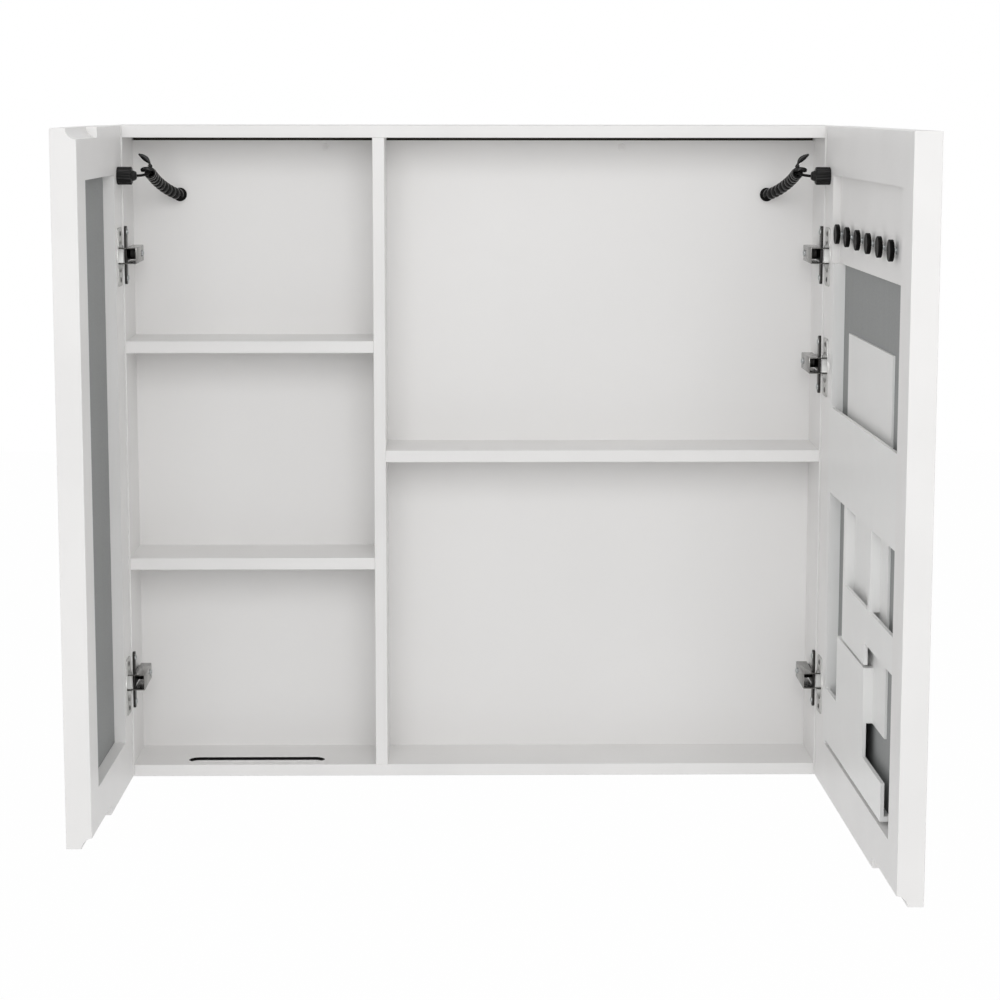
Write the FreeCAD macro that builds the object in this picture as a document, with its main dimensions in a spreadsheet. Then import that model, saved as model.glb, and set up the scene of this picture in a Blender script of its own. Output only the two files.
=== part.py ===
import FreeCAD, Part
import math
import os
from FreeCAD import Placement, Rotation, Vector

# Wall-hung medicine cabinet with two framed mirror doors, in millimetres.
# +Z is up, the front faces -Y and the wall is the plane Y = 0. The origin lies on the wall,
# midway between the two hanging screws. Each door is drawn in a frame of its own: x runs from
# its hinge edge to its free edge, z up from its lower edge, and its inner face is y = 0.

SIZES = {
    # Carcass boards
    "cabinet_width": 762,
    "cabinet_height": 698.5,
    "carcass_depth": 110,
    "board": 12.7,
    "back_panel": 5,
    "rear_cavity": 18,
    "back_panel_top_gap": 4,
    "left_bay": 261.3,
    "edge_round": 0.8,
    # Tissue slot in the floor of the left bay
    "slot_length": 148,
    "slot_width": 23,
    "slot_from_front": 25,
    "slot_chamfer": 0.8,
    "slot_trim": 1.2,
    "slot_trim_height": 3,
    # Dowels that join the boards
    "dowel_radius": 3,
    "dowel_in_face": 8,
    "dowel_in_end": 16,
    "dowel_from_edge": 20,
    "dowel_clearance": 0.05,
    # Hanging cleats
    "top_rise": 75,
    "cleat_thickness": 15,
    "cleat_overlap": 22,
    "cleat_drop": 26,
    "cleat_end_gap": 1,
    "hanging_screw_spacing": 406.4,
    "hanging_screw_hole_radius": 2.75,
    "cleat_screw_spacing": 320,
    "cleat_screw_radius": 2,
    "cleat_screw_head_radius": 4,
    "cleat_screw_head": 1.2,
    "cleat_screw_in_cleat": 12,
    # Lighting driver in the rear cavity
    "driver_length": 150,
    "driver_height": 44,
    "driver_depth": 16,
    "driver_drop": 200,
    "driver_round": 3,
    # Doors
    "door_thickness": 25.4,
    "door_gap": 2.3,
    "left_door_width": 280,
    "meeting_gap": 3,
    "stile": 48,
    "rail": 50,
    "front_lip": 6,
    "lip_width": 8,
    "recess_depth": 11.8,
    "mirror_thickness": 5,
    "pane_clearance": 0.4,
    "cove_radius": 10.5,
    "cove_length": 125,
    "light_strip_width": 8,
    "light_strip_thickness": 1.4,
    "light_groove_clearance": 0.2,
    "light_inset": 14,
    # Door swing
    "open_angle": 91.25,
    "pivot_in": 5.35,
    "pivot_deep": 5.95,
    # Hinges
    "hinge_upper_drop": 135.5,
    "hinge_middle_drop": 251.5,
    "hinge_lower_rise": 106,
    "hinge_pin_radius": 1.25,
    "hinge_pin_reach": 10.5,
    "pin_clearance": 0.05,
    "cup_radius": 17.5,
    "cup_depth": 11,
    "cup_wall": 1,
    "cup_centre_in": 22.5,
    "cup_seat_clearance": 0.1,
    "pin_box_edge": 1.7,
    "pin_box_wall": 0.9,
    "pin_box_depth": 9.2,
    "pin_box_half_height": 11,
    "pin_box_inner_half": 8.9,
    "flange_length": 61,
    "flange_width": 26,
    "flange_thickness": 1.2,
    "flange_corner": 4,
    "cup_screw_spacing": 48,
    "screw_radius": 1.8,
    "screw_head_radius": 3.6,
    "screw_head": 1.6,
    "screw_bite": 11,
    "arm_half_height": 8.5,
    "arm_sheet": 1.2,
    "arm_low": 10.2,
    "arm_high": 21.65,
    "arm_length": 60,
    "arm_bend": 1,
    "plate_round": 3,
    "eye_radius": 2,
    "neck_rise": 1,
    "plate_thickness": 2.5,
    "plate_start": 34,
    "plate_bar_half_height": 6,
    "plate_wing_inset": 1.2,
    "plate_wing_half_height": 30.5,
    "plate_wing_width": 10,
    "plate_screw_spacing": 48,
    # Cable glands on the doors
    "gland_in": 25,
    "gland_drop": 51.5,
    "gland_corner_radius": 9.4,
    "gland_hex_length": 15.5,
    "gland_neck_length": 4.5,
    "gland_neck_radius": 5.6,
    "gland_mouth_radius": 3.6,
    "gland_thread_radius": 5,
    "gland_thread_length": 9,
    "gland_groove_radius": 1.2,
    "gland_collar_length": 7,
    # Door leads, their spiral wraps and the grommets that they enter the back panel by
    "lead_radius": 1.4,
    "lead_hole_in": 63.5,
    "lead_hole_drop": 74.7,
    "wrap_strand_radius": 2.2,
    "wrap_mean_radius": 4.4,
    "wrap_pitch": 5.7,
    "grommet_radius": 7.3,
    "grommet_lip": 2,
    "grommet_neck_radius": 6,
    "grommet_bore_clearance": 0.3,
    # Hooks on the right door
    "hook_board_height": 90.5,
    "hook_board_deep": 8.2,
    "hook_rise": 30.5,
    "first_hook_in": 14,
    "hook_stem_radius": 2.6,
    "hook_knob_radius": 10.2,
    "hook_knob_thickness": 4.2,
    "hook_knob_set": 0.3,
    "hook_knob_round": 1.2,
    # Organizer on the right door
    "front_thickness": 3.6,
    "divider": 12,
    "floor_thickness": 5,
    "organizer_back_thickness": 2.2,
    "organizer_border": 15,
    # One overrun for all cuts that pass out of a solid
    "overrun": 2,
}
# Heights of the shelves' tops, as shares of the cabinet's height
SHELF_SHARES = {
    "left_upper_shelf_share": 0.6763,
    "left_lower_shelf_share": 0.3432,
    "right_shelf_share": 0.5091,
}
# Heights on the right door, as shares of the field between its bottom rail and its hook board
HEIGHT_SHARES = {
    "lower_front_low_share": 0.01,
    "side_front_high_share": 0.083,
    "lower_front_step_share": 0.12,
    "organizer_back_low_share": 0.148,
    "lower_front_high_share": 0.256,
    "middle_front_low_share": 0.262,
    "middle_front_step_share": 0.305,
    "middle_front_high_share": 0.374,
    "upper_front_low_share": 0.5315,
    "upper_front_high_share": 0.7067,
    "organizer_back_high_share": 0.866,
}
# Places across the right door, as shares of the opening between its stiles
ACROSS_SHARES = {
    "organizer_back_in_share": 0.151,
    "lower_front_in_share": 0.206,
    "first_divider_share": 0.279,
    "lower_front_out_share": 0.619,
    "second_divider_share": 0.653,
    "organizer_back_out_share": 0.789,
    "side_front_out_share": 0.888,
    "hook_pitch_share": 0.158,
}
HOOK_COUNT = 6

doc = FreeCAD.newDocument("medicine_cabinet")
dim = doc.addObject("Spreadsheet::Sheet", "dim")
cells = {**SIZES, **SHELF_SHARES, **HEIGHT_SHARES, **ACROSS_SHARES}
for row, (alias, number) in enumerate(cells.items(), start=1):
    dim.set(f"A{row}", alias)
    dim.set(f"B{row}", str(number))
    dim.setAlias(f"B{row}", alias)
doc.recompute()

pieces = []
TOUCH = 1e-4  # two places closer than this are one

# Planes of the carcass that many pieces share
SIDE = "dim.cabinet_width / 2"
BAY_SIDE = f"({SIDE} - dim.board)"
FRONT = "-dim.carcass_depth"
BACK_FACE = "-(dim.rear_cavity + dim.back_panel)"
TOP = "dim.top_rise"
LOW = "(dim.top_rise - dim.cabinet_height)"
FLOOR = f"({LOW} + dim.board)"
CEILING = f"({TOP} - dim.board)"
PARTITION_LEFT = f"(-{BAY_SIDE} + dim.left_bay)"
PARTITION_RIGHT = f"(-{BAY_SIDE} + dim.left_bay + dim.board)"

AXIS_TURNS = {
    "x": Rotation(Vector(0, 1, 0), 90),
    "y": Rotation(Vector(1, 0, 0), -90),
    "z": Rotation(),
}


def value(expression):
    """Number that an expression on the sheet gives."""
    return float(dim.evalExpression(expression))


def piece(label, frame=None):
    """A new sub-part, in the cabinet's frame or in a door's."""
    body = doc.addObject("PartDesign::Body", label)
    body.Label = label
    if frame:
        body.setExpression("Placement", f"{frame}.Placement")
    pieces.append(body)
    return body


def block(body, x, y, z, kind="Additive"):
    """Box between pairs of low and high places."""
    box = body.newObject(f"PartDesign::{kind}Box", "block")
    for side, axis, (low, high) in zip(("Length", "Width", "Height"), "xyz", (x, y, z)):
        box.setExpression(side, f"({high}) - ({low})")
        box.setExpression(f"Placement.Base.{axis}", f"{low}")
    return box


def rod(body, axis, at, span, radius, kind="Additive"):
    """Cylinder along an axis, through the place `at` and between the two ends of `span`."""
    cylinder = body.newObject(f"PartDesign::{kind}Cylinder", "rod")
    cylinder.Placement = Placement(Vector(), AXIS_TURNS[axis])
    places = list(at)
    places.insert("xyz".index(axis), span[0])
    for letter, place in zip("xyz", places):
        cylinder.setExpression(f"Placement.Base.{letter}", f"{place}")
    cylinder.setExpression("Radius", radius)
    cylinder.setExpression("Height", f"({span[1]}) - ({span[0]})")
    return cylinder


def soften(body, size, picks, kind="Fillet", prop="Radius"):
    """Round or chamfer the edges of a body that `picks` accepts."""
    doc.recompute()
    base = body.Tip
    names = [f"Edge{i}" for i, edge in enumerate(base.Shape.Edges, start=1) if picks(edge)]
    if not names:
        raise RuntimeError(f"{body.Label}: no edge to soften")
    feature = body.newObject(f"PartDesign::{kind}", "softened")
    feature.Base = (base, names)
    feature.setExpression(prop, size)
    return feature


def runs_along(edge, axis):
    """Whether an edge is straight and parallel to an axis."""
    if not isinstance(edge.Curve, Part.Line):
        return False
    return abs(getattr(edge.Curve.Direction, axis)) > 1 - TOUCH


def lies_at(edge, axis, place):
    """Whether a whole edge lies at one place along an axis."""
    box = edge.BoundBox
    low, high = getattr(box, f"{axis}Min"), getattr(box, f"{axis}Max")
    return abs(low - place) < TOUCH and abs(high - place) < TOUCH


# Carcass

def joint_dowels(axis, sign, face, across, span):
    """Places of the dowels of one joint between a board's end and another board's face.

    `face` is where the boards meet, `sign` the way from the face board to the end board,
    `across` the middle of the end board's thickness and `span` its back and front.
    """
    into_face = f"{face} - {sign} * dim.dowel_in_face"
    into_end = f"{face} + {sign} * dim.dowel_in_end"
    ends = (into_face, into_end) if sign > 0 else (into_end, into_face)
    back, front = span
    places = []
    for y in (f"({back}) - dim.dowel_from_edge", f"({front}) + dim.dowel_from_edge"):
        places.append((axis, (y, across), ends))
    return places


def shelf_top(shelf):
    """Height of a shelf's upper face."""
    return f"({LOW} + dim.{shelf}_share * dim.cabinet_height)"


SHELVES = {
    "left_upper_shelf": (f"-{BAY_SIDE}", PARTITION_LEFT),
    "left_lower_shelf": (f"-{BAY_SIDE}", PARTITION_LEFT),
    "right_shelf": (PARTITION_RIGHT, BAY_SIDE),
}
INSIDE = (BACK_FACE, FRONT)
FULL_DEPTH = ("0", FRONT)


def dowel_joints():
    """Every dowel of the carcass, with the two boards that it joins."""
    joints = []
    for side, sign in (("left", 1), ("right", -1)):
        face = f"{-sign} * {BAY_SIDE}"
        middles = {"top": f"({TOP} - dim.board / 2)", "bottom": f"({LOW} + dim.board / 2)"}
        for panel, z in middles.items():
            boards = (f"{side}_side_panel", f"{panel}_panel")
            joints.append((boards, joint_dowels("x", sign, face, z, FULL_DEPTH)))
    middle = f"(({PARTITION_LEFT} + {PARTITION_RIGHT}) / 2)"
    for panel, sign, face in (("bottom", 1, FLOOR), ("top", -1, CEILING)):
        places = joint_dowels("z", sign, face, middle, INSIDE)
        places = [(axis, (x, y), ends) for axis, (y, x), ends in places]
        joints.append(((f"{panel}_panel", "partition"), places))
    for shelf, (left, right) in SHELVES.items():
        carriers = ["left_side_panel", "partition", "right_side_panel"]
        first = 0 if shelf.startswith("left") else 1
        z = f"({shelf_top(shelf)} - dim.board / 2)"
        joints.append(((carriers[first], shelf), joint_dowels("x", 1, left, z, INSIDE)))
        joints.append(((carriers[first + 1], shelf), joint_dowels("x", -1, right, z, INSIDE)))
    return joints


def drill_for_dowels(body):
    """Bore a board for the dowels that enter it."""
    for boards, places in dowel_joints():
        if body.Label in boards:
            for axis, at, ends in places:
                rod(body, axis, at, ends, "dim.dowel_radius + dim.dowel_clearance", "Subtractive")


def round_front(body):
    """Ease the front edges of a board that is lacquered all over."""
    front, long_enough = value(FRONT), value("dim.board * 2")
    soften(body, "dim.edge_round", lambda edge: lies_at(edge, "Y", front) and edge.Length > long_enough)


def carcass():
    """The lacquered boards of the cabinet."""
    for side, sign in (("left", -1), ("right", 1)):
        panel = piece(f"{side}_side_panel")
        outer, inner = f"{sign} * {SIDE}", f"{sign} * {BAY_SIDE}"
        block(panel, (outer, inner) if sign < 0 else (inner, outer), (FRONT, "0"), (LOW, TOP))
        drill_for_dowels(panel)
        round_front(panel)
    for label, z in (("top_panel", (CEILING, TOP)), ("bottom_panel", (LOW, FLOOR))):
        panel = piece(label)
        block(panel, (f"-{BAY_SIDE}", BAY_SIDE), (FRONT, "0"), z)
        drill_for_dowels(panel)
        if label == "bottom_panel":
            cut_tissue_slot(panel)
        round_front(panel)
    partition = piece("partition")
    block(partition, (PARTITION_LEFT, PARTITION_RIGHT), (FRONT, BACK_FACE), (FLOOR, CEILING))
    drill_for_dowels(partition)
    round_front(partition)
    for label, (left, right) in SHELVES.items():
        shelf = piece(label)
        height = shelf_top(label)
        block(shelf, (left, right), (FRONT, BACK_FACE), (f"{height} - dim.board", height))
        drill_for_dowels(shelf)
        round_front(shelf)


SLOT_AT = (f"(-{BAY_SIDE} + dim.left_bay / 2)", f"({FRONT} + dim.slot_from_front)")


def long_hole(body, inset, z, kind):
    """Form with round ends on the middle of the tissue slot, smaller than the slot by an inset."""
    x, y = SLOT_AT
    radius = f"(dim.slot_width / 2 - {inset})"
    half_run = "(dim.slot_length - dim.slot_width) / 2"
    along = (f"{x} - {half_run}", f"{x} + {half_run}")
    block(body, along, (f"{y} - {radius}", f"{y} + {radius}"), z, kind)
    for end in along:
        rod(body, "z", (end, y), z, radius, kind)


def slot_trim():
    """Black ring that lines the slot just below its eased edge."""
    body = piece("slot_trim")
    top = f"({FLOOR} - dim.slot_chamfer)"
    low = f"({top} - dim.slot_trim_height)"
    long_hole(body, "0", (low, top), "Additive")
    long_hole(body, "dim.slot_trim", (f"{low} - dim.overrun", f"{top} + dim.overrun"), "Subtractive")


def cut_tissue_slot(panel):
    """Long slot with round ends, eased at its upper edge, that tissues are pulled through."""
    long_hole(panel, "0", (f"{LOW} - dim.overrun", f"{FLOOR} + dim.overrun"), "Subtractive")
    floor = value(FLOOR)
    middle = Vector(value(SLOT_AT[0]), value(SLOT_AT[1]), floor)
    reach = value("dim.slot_length")

    def is_slot_rim(edge):
        return lies_at(edge, "Z", floor) and (edge.BoundBox.Center - middle).Length < reach / 2 + TOUCH

    soften(panel, "dim.slot_chamfer", is_slot_rim, "Chamfer", "Size")


def dowels():
    """Wooden dowels, one group."""
    body = piece("carcass_dowels")
    for _, places in dowel_joints():
        for axis, at, ends in places:
            low, high = ends
            span = (f"{low} + dim.dowel_clearance", f"{high} - dim.dowel_clearance")
            rod(body, axis, at, span, "dim.dowel_radius")


# Back panel, hanging cleats and lighting driver

def lead_hole(sign):
    """Place where a door lead enters the back panel, on the given side."""
    return f"{sign} * ({SIDE} - dim.lead_hole_in)", f"({TOP} - dim.lead_hole_drop)"


def back_panel():
    """Sheet that closes the back, with a hole for each door lead."""
    panel = piece("back_panel")
    tall = (FLOOR, f"{CEILING} - dim.back_panel_top_gap")
    block(panel, (f"-{BAY_SIDE}", BAY_SIDE), (BACK_FACE, "-dim.rear_cavity"), tall)
    through = (f"{BACK_FACE} - dim.overrun", "-dim.rear_cavity + dim.overrun")
    for sign in (-1, 1):
        rod(panel, "y", lead_hole(sign), through, "dim.grommet_neck_radius", "Subtractive")
    for sign in (-1, 1):
        x = f"{sign} * dim.cleat_screw_spacing / 2"
        rod(panel, "y", (x, CABINET_CLEAT_MIDDLE), through, CLEAT_SCREW_HOLE, "Subtractive")


def grommets():
    """Rubber rings that line the lead holes, one group."""
    body = piece("lead_grommets")
    front = (f"{BACK_FACE} - dim.grommet_lip", BACK_FACE)
    rear = ("-dim.rear_cavity", "-dim.rear_cavity + dim.grommet_lip")
    for sign in (-1, 1):
        rod(body, "y", lead_hole(sign), front, "dim.grommet_radius")
        rod(body, "y", lead_hole(sign), (BACK_FACE, "-dim.rear_cavity"), "dim.grommet_neck_radius")
        rod(body, "y", lead_hole(sign), rear, "dim.grommet_radius")
        through = (f"{front[0]} - dim.overrun", f"{rear[1]} + dim.overrun")
        bore = "dim.lead_radius + dim.grommet_bore_clearance"
        rod(body, "y", lead_hole(sign), through, bore, "Subtractive")


# The wall cleat's bevel rises from the wall, and the cabinet cleat hooks over it.
CLEAT_SCREW_HOLE = "dim.cleat_screw_radius + dim.pin_clearance"
CLEAT_HALF = f"({BAY_SIDE} - dim.cleat_end_gap)"
CABINET_CLEAT_MIDDLE = f"({CEILING} - dim.cleat_overlap / 2)"
BEVEL_AT_WALL = f"({CEILING} - dim.cleat_overlap - dim.rear_cavity)"


def wedge(body, y, low, high):
    """Cleat between two planes of Y, whose lower and upper edges slope between pairs of heights."""
    shape = body.newObject("PartDesign::AdditiveWedge", "wedge")
    for prop, expression in {
        "Xmin": f"-{CLEAT_HALF}", "X2min": f"-{CLEAT_HALF}",
        "Xmax": CLEAT_HALF, "X2max": CLEAT_HALF,
        "Ymin": y[0], "Ymax": y[1],
        "Zmin": low[0], "Z2min": low[1],
        "Zmax": high[0], "Z2max": high[1],
    }.items():
        shape.setExpression(prop, expression)


def cleats():
    """Pair of bevelled hanging cleats, and the screws of the one on the cabinet."""
    wall = piece("wall_cleat")
    tip = f"{BEVEL_AT_WALL} + dim.cleat_thickness"
    low = "-dim.cleat_drop"
    wedge(wall, ("-dim.cleat_thickness", "0"), (low, low), (tip, BEVEL_AT_WALL))
    through = ("-dim.cleat_thickness - dim.overrun", "dim.overrun")
    for sign in (-1, 1):
        x = f"{sign} * dim.hanging_screw_spacing / 2"
        rod(wall, "y", (x, "0"), through, "dim.hanging_screw_hole_radius", "Subtractive")
    cabinet = piece("cabinet_cleat")
    rear = "(dim.cleat_thickness - dim.rear_cavity)"
    slope = (f"{BEVEL_AT_WALL} + dim.rear_cavity", f"{BEVEL_AT_WALL} - {rear}")
    wedge(cabinet, ("-dim.rear_cavity", rear), slope, (CEILING, CEILING))
    screws = piece("cleat_screws")
    for sign in (-1, 1):
        at = (f"{sign} * dim.cleat_screw_spacing / 2", CABINET_CLEAT_MIDDLE)
        end = "-dim.rear_cavity + dim.cleat_screw_in_cleat"
        rod(cabinet, "y", at, ("-dim.rear_cavity - dim.overrun", end), CLEAT_SCREW_HOLE, "Subtractive")
        rod(screws, "y", at, (BACK_FACE, f"{end} - dim.pin_clearance"), "dim.cleat_screw_radius")
        head = (f"{BACK_FACE} - dim.cleat_screw_head", BACK_FACE)
        rod(screws, "y", at, head, "dim.cleat_screw_head_radius")


def driver():
    """Lighting driver fixed behind the back panel."""
    body = piece("lighting_driver")
    z = f"({TOP} - dim.driver_drop)"
    block(body, ("-dim.driver_length / 2", "dim.driver_length / 2"),
          ("-dim.rear_cavity", "-dim.rear_cavity + dim.driver_depth"), (f"{z} - dim.driver_height", z))
    rear = value("-dim.rear_cavity + dim.driver_depth")
    soften(body, "dim.driver_round", lambda edge: lies_at(edge, "Y", rear) or runs_along(edge, "y"))


# Doors

class Door:
    """A door's names, frame and the sense of its depth axis."""

    def __init__(self, side, sense, width, hinges):
        self.side = side
        self.sense = sense
        self.width = width
        self.hinges = hinges
        self.frame = None
        self.pivot_x = f"({sense} * ({SIDE} - dim.pivot_in))"
        self.pivot_y = "(-(dim.carcass_depth + dim.door_gap + dim.pivot_deep))"

    def deep(self, near, far):
        """Span of y between two depths below the inner face; a negative one stands proud of it."""
        if self.sense > 0:
            return near, far
        return f"-({far})", f"-({near})"

    def deep_at(self, depth):
        """Place of one depth along y."""
        return f"{self.sense} * ({depth})"

    def across(self, near, far):
        """Span of X in the cabinet between two distances inwards from the pivot."""
        if self.sense < 0:
            return f"{self.pivot_x} + {near}", f"{self.pivot_x} + {far}"
        return f"{self.pivot_x} - ({far})", f"{self.pivot_x} - ({near})"

    def inward(self, distance):
        """Place in the cabinet at a distance inwards from the pivot."""
        return f"{self.pivot_x} - {self.sense} * ({distance})"

    def piece(self, name):
        """A sub-part in this door's frame; the first one carries the frame."""
        body = piece(f"{self.side}_{name}", self.frame)
        if self.frame is None:
            self.frame = body.Name
            self.place(body)
        return body

    def place(self, body):
        """Swing the door about its pivot to its resting angle."""
        turn = "dim.open_angle" if self.sense < 0 else "(180 - dim.open_angle)"
        body.Placement = Placement(Vector(), Rotation(Vector(0, 0, -1), value(turn)))
        body.setExpression("Placement.Rotation.Angle", turn)
        cosine, sine = "cos(dim.open_angle)", "sin(dim.open_angle)"
        along = f"({cosine} * dim.pivot_in - {sine} * dim.pivot_deep)"
        out = f"({sine} * dim.pivot_in + {cosine} * dim.pivot_deep)"
        body.setExpression("Placement.Base.x", f"{self.pivot_x} + {self.sense} * {along}")
        body.setExpression("Placement.Base.y", f"{self.pivot_y} + {out}")
        body.setExpression("Placement.Base.z", LOW)


RIGHT_DOOR_WIDTH = "(dim.cabinet_width - dim.left_door_width - dim.meeting_gap)"
HEIGHT = "dim.cabinet_height"
UPPER_HINGE = f"({HEIGHT} - dim.hinge_upper_drop)"
MIDDLE_HINGE = f"({HEIGHT} - dim.hinge_middle_drop)"
LOWER_HINGE = "dim.hinge_lower_rise"
LEFT = Door("left", -1, "dim.left_door_width", (UPPER_HINGE, LOWER_HINGE))
RIGHT = Door("right", 1, RIGHT_DOOR_WIDTH, (UPPER_HINGE, MIDDLE_HINGE, LOWER_HINGE))
LIP_FACE = "(dim.door_thickness - dim.front_lip)"
MIRROR_FACE = f"({LIP_FACE} - dim.mirror_thickness)"


def round_door_edges(door, body):
    """Ease the edges of a stile or rail that run round the outside of the door."""
    width, height = value(door.width), value(HEIGHT)
    faces = (0, value(door.deep_at("dim.door_thickness")))

    def picks(edge):
        on_face = any(lies_at(edge, "Y", face) for face in faces)
        on_sides = any(lies_at(edge, "X", side) for side in (0, width))
        on_ends = any(lies_at(edge, "Z", end) for end in (0, height))
        return on_face and (on_sides or on_ends)

    soften(body, "dim.edge_round", picks)


def door_frame(door):
    """Two stiles and two rails round the mirror."""
    thick = door.deep("0", "dim.door_thickness")
    full = ("0", HEIGHT)
    lip_in = "(dim.stile + dim.lip_width)"
    rail_span = ("dim.stile", f"{door.width} - dim.stile")

    hinge_stile = door.piece("door_hinge_stile")
    block(hinge_stile, ("0", "dim.stile"), thick, full)
    free_stile = door.piece("door_free_stile")
    block(free_stile, (f"{door.width} - dim.stile", door.width), thick, full)
    top_rail = door.piece("door_top_rail")
    block(top_rail, rail_span, thick, (f"{HEIGHT} - dim.rail", HEIGHT))
    bottom_rail = door.piece("door_bottom_rail")
    block(bottom_rail, rail_span, thick, ("0", "dim.rail"))

    lip_y = door.deep(LIP_FACE, "dim.door_thickness")
    lip_z = ("dim.rail + dim.lip_width", f"{HEIGHT} - dim.rail - dim.lip_width")
    block(hinge_stile, ("dim.stile", lip_in), lip_y, lip_z)
    block(free_stile, (f"{door.width} - {lip_in}", f"{door.width} - dim.stile"), lip_y, lip_z)
    under_top_rail = f"{HEIGHT} - dim.rail"
    block(top_rail, rail_span, lip_y, (f"{under_top_rail} - dim.lip_width", under_top_rail))
    block(bottom_rail, rail_span, lip_y, ("dim.rail", "dim.rail + dim.lip_width"))

    for body in (hinge_stile, free_stile, top_rail, bottom_rail):
        round_door_edges(door, body)
    bore_for_hinges(door, hinge_stile)
    bore_for_gland(door, hinge_stile)
    coves = [(bottom_rail, free_stile, "0")]
    if door is LEFT:
        coves.append((top_rail, free_stile, HEIGHT))
    for rail, stile, z in coves:
        start = f"{door.width} - dim.cove_length"
        for body in (rail, stile):
            span = (start, f"{door.width} + dim.overrun")
            rod(body, "x", ("0", z), span, "dim.cove_radius", "Subtractive")


def panes(door):
    """Mirror, its grey backing board and the light strips let into the backing."""
    x0, x1 = "(dim.stile + dim.pane_clearance)", f"({door.width} - dim.stile - dim.pane_clearance)"
    z0, z1 = "(dim.rail + dim.pane_clearance)", f"({HEIGHT} - dim.rail - dim.pane_clearance)"
    mirror = door.piece("mirror")
    block(mirror, (x0, x1), door.deep(MIRROR_FACE, LIP_FACE), (z0, z1))
    backing = door.piece("mirror_backing")
    block(backing, (x0, x1), door.deep("dim.recess_depth", MIRROR_FACE), (z0, z1))
    strips = door.piece("light_strips")
    groove = "dim.light_groove_clearance"
    half = "(dim.light_strip_width / 2)"
    left, right = f"({x0} + dim.light_inset)", f"({x1} - dim.light_inset)"
    low, high = f"({z0} + dim.light_inset)", f"({z1} - dim.light_inset)"
    upright = (f"{low} + {half}", f"{high} - {half}")
    level = (f"{left} - {half}", f"{right} + {half}")
    runs = [((f"{x} - {half}", f"{x} + {half}"), upright) for x in (left, right)]
    runs += [(level, (f"{z} - {half}", f"{z} + {half}")) for z in (low, high)]
    seat = f"{MIRROR_FACE} - dim.light_strip_thickness"
    for x, z in runs:
        wide = (f"{x[0]} - {groove}", f"{x[1]} + {groove}")
        tall = (f"{z[0]} - {groove}", f"{z[1]} + {groove}")
        depth = door.deep(f"{seat} - {groove}", f"{MIRROR_FACE} + dim.overrun")
        block(backing, wide, depth, tall, "Subtractive")
        block(strips, x, door.deep(seat, MIRROR_FACE), z)


# Hinges: a cup in the stile, a pin in the cup, and an arm on a plate on the side panel

def bore_for_hinges(door, stile):
    """Cup bores, pin-box pockets and screw holes of a hinge stile."""
    clearance = "dim.cup_seat_clearance"
    for z in door.hinges:
        depth = door.deep("-dim.overrun", f"dim.cup_depth + {clearance}")
        rod(stile, "y", ("dim.cup_centre_in", z), depth, f"dim.cup_radius + {clearance}", "Subtractive")
        reach = f"(dim.pin_box_half_height + {clearance})"
        block(stile, (f"dim.pin_box_edge - {clearance}", "dim.cup_centre_in"),
              door.deep("-dim.overrun", f"dim.pin_box_depth + {clearance}"),
              (f"{z} - {reach}", f"{z} + {reach}"), "Subtractive")
        for sign in (-1, 1):
            at = ("dim.cup_centre_in", f"{z} + {sign} * dim.cup_screw_spacing / 2")
            rod(stile, "y", at, door.deep("-dim.overrun", "dim.screw_bite + dim.pin_clearance"),
                "dim.screw_radius + dim.pin_clearance", "Subtractive")


def hinge_cups(door):
    """Pressed cups with their flanges, pins and screws, one group of each."""
    cups = door.piece("hinge_cups")
    pins = door.piece("hinge_pins")
    screws = door.piece("cup_screws")
    centre, proud = "dim.cup_centre_in", "-dim.flange_thickness"
    for z in door.hinges:
        half = "(dim.flange_length / 2)"
        block(cups, (f"{centre} - dim.flange_width / 2", f"{centre} + dim.flange_width / 2"),
              door.deep(proud, "0"), (f"{z} - {half}", f"{z} + {half}"))
        rod(cups, "y", (centre, z), door.deep(proud, "dim.cup_depth"), "dim.cup_radius")
        block(cups, ("dim.pin_box_edge", centre), door.deep(proud, "dim.pin_box_depth"),
              (f"{z} - dim.pin_box_half_height", f"{z} + dim.pin_box_half_height"))
        rod(cups, "y", (centre, z), door.deep(f"{proud} - dim.overrun", "dim.cup_depth - dim.cup_wall"),
            "dim.cup_radius - dim.cup_wall", "Subtractive")
        block(cups, ("dim.pin_box_edge + dim.pin_box_wall", centre),
              door.deep(f"{proud} - dim.overrun", "dim.pin_box_depth - dim.pin_box_wall"),
              (f"{z} - dim.pin_box_inner_half", f"{z} + dim.pin_box_inner_half"), "Subtractive")
        pivot = ("dim.pivot_in", door.deep_at("dim.pivot_deep"))
        reach = "dim.hinge_pin_reach"
        bore = (f"{z} - {reach} - dim.pin_clearance", f"{z} + {reach} + dim.pin_clearance")
        rod(cups, "z", pivot, bore, "dim.hinge_pin_radius + dim.pin_clearance", "Subtractive")
        rod(pins, "z", pivot, (f"{z} - {reach}", f"{z} + {reach}"), "dim.hinge_pin_radius")
        for sign in (-1, 1):
            at = (centre, f"{z} + {sign} * dim.cup_screw_spacing / 2")
            rod(cups, "y", at, door.deep(f"{proud} - dim.overrun", "dim.overrun"),
                "dim.screw_radius + dim.pin_clearance", "Subtractive")
            rod(screws, "y", at, door.deep(proud, "dim.screw_bite"), "dim.screw_radius")
            rod(screws, "y", at, door.deep(f"{proud} - dim.screw_head / 2", proud), "dim.screw_head_radius")
    half_length = value("dim.flange_length / 2")
    heights = [value(z) for z in door.hinges]

    def is_flange_corner(edge):
        at_end = any(abs(abs(edge.CenterOfMass.z - height) - half_length) < TOUCH for height in heights)
        return runs_along(edge, "y") and at_end

    soften(cups, "dim.flange_corner", is_flange_corner)


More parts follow.
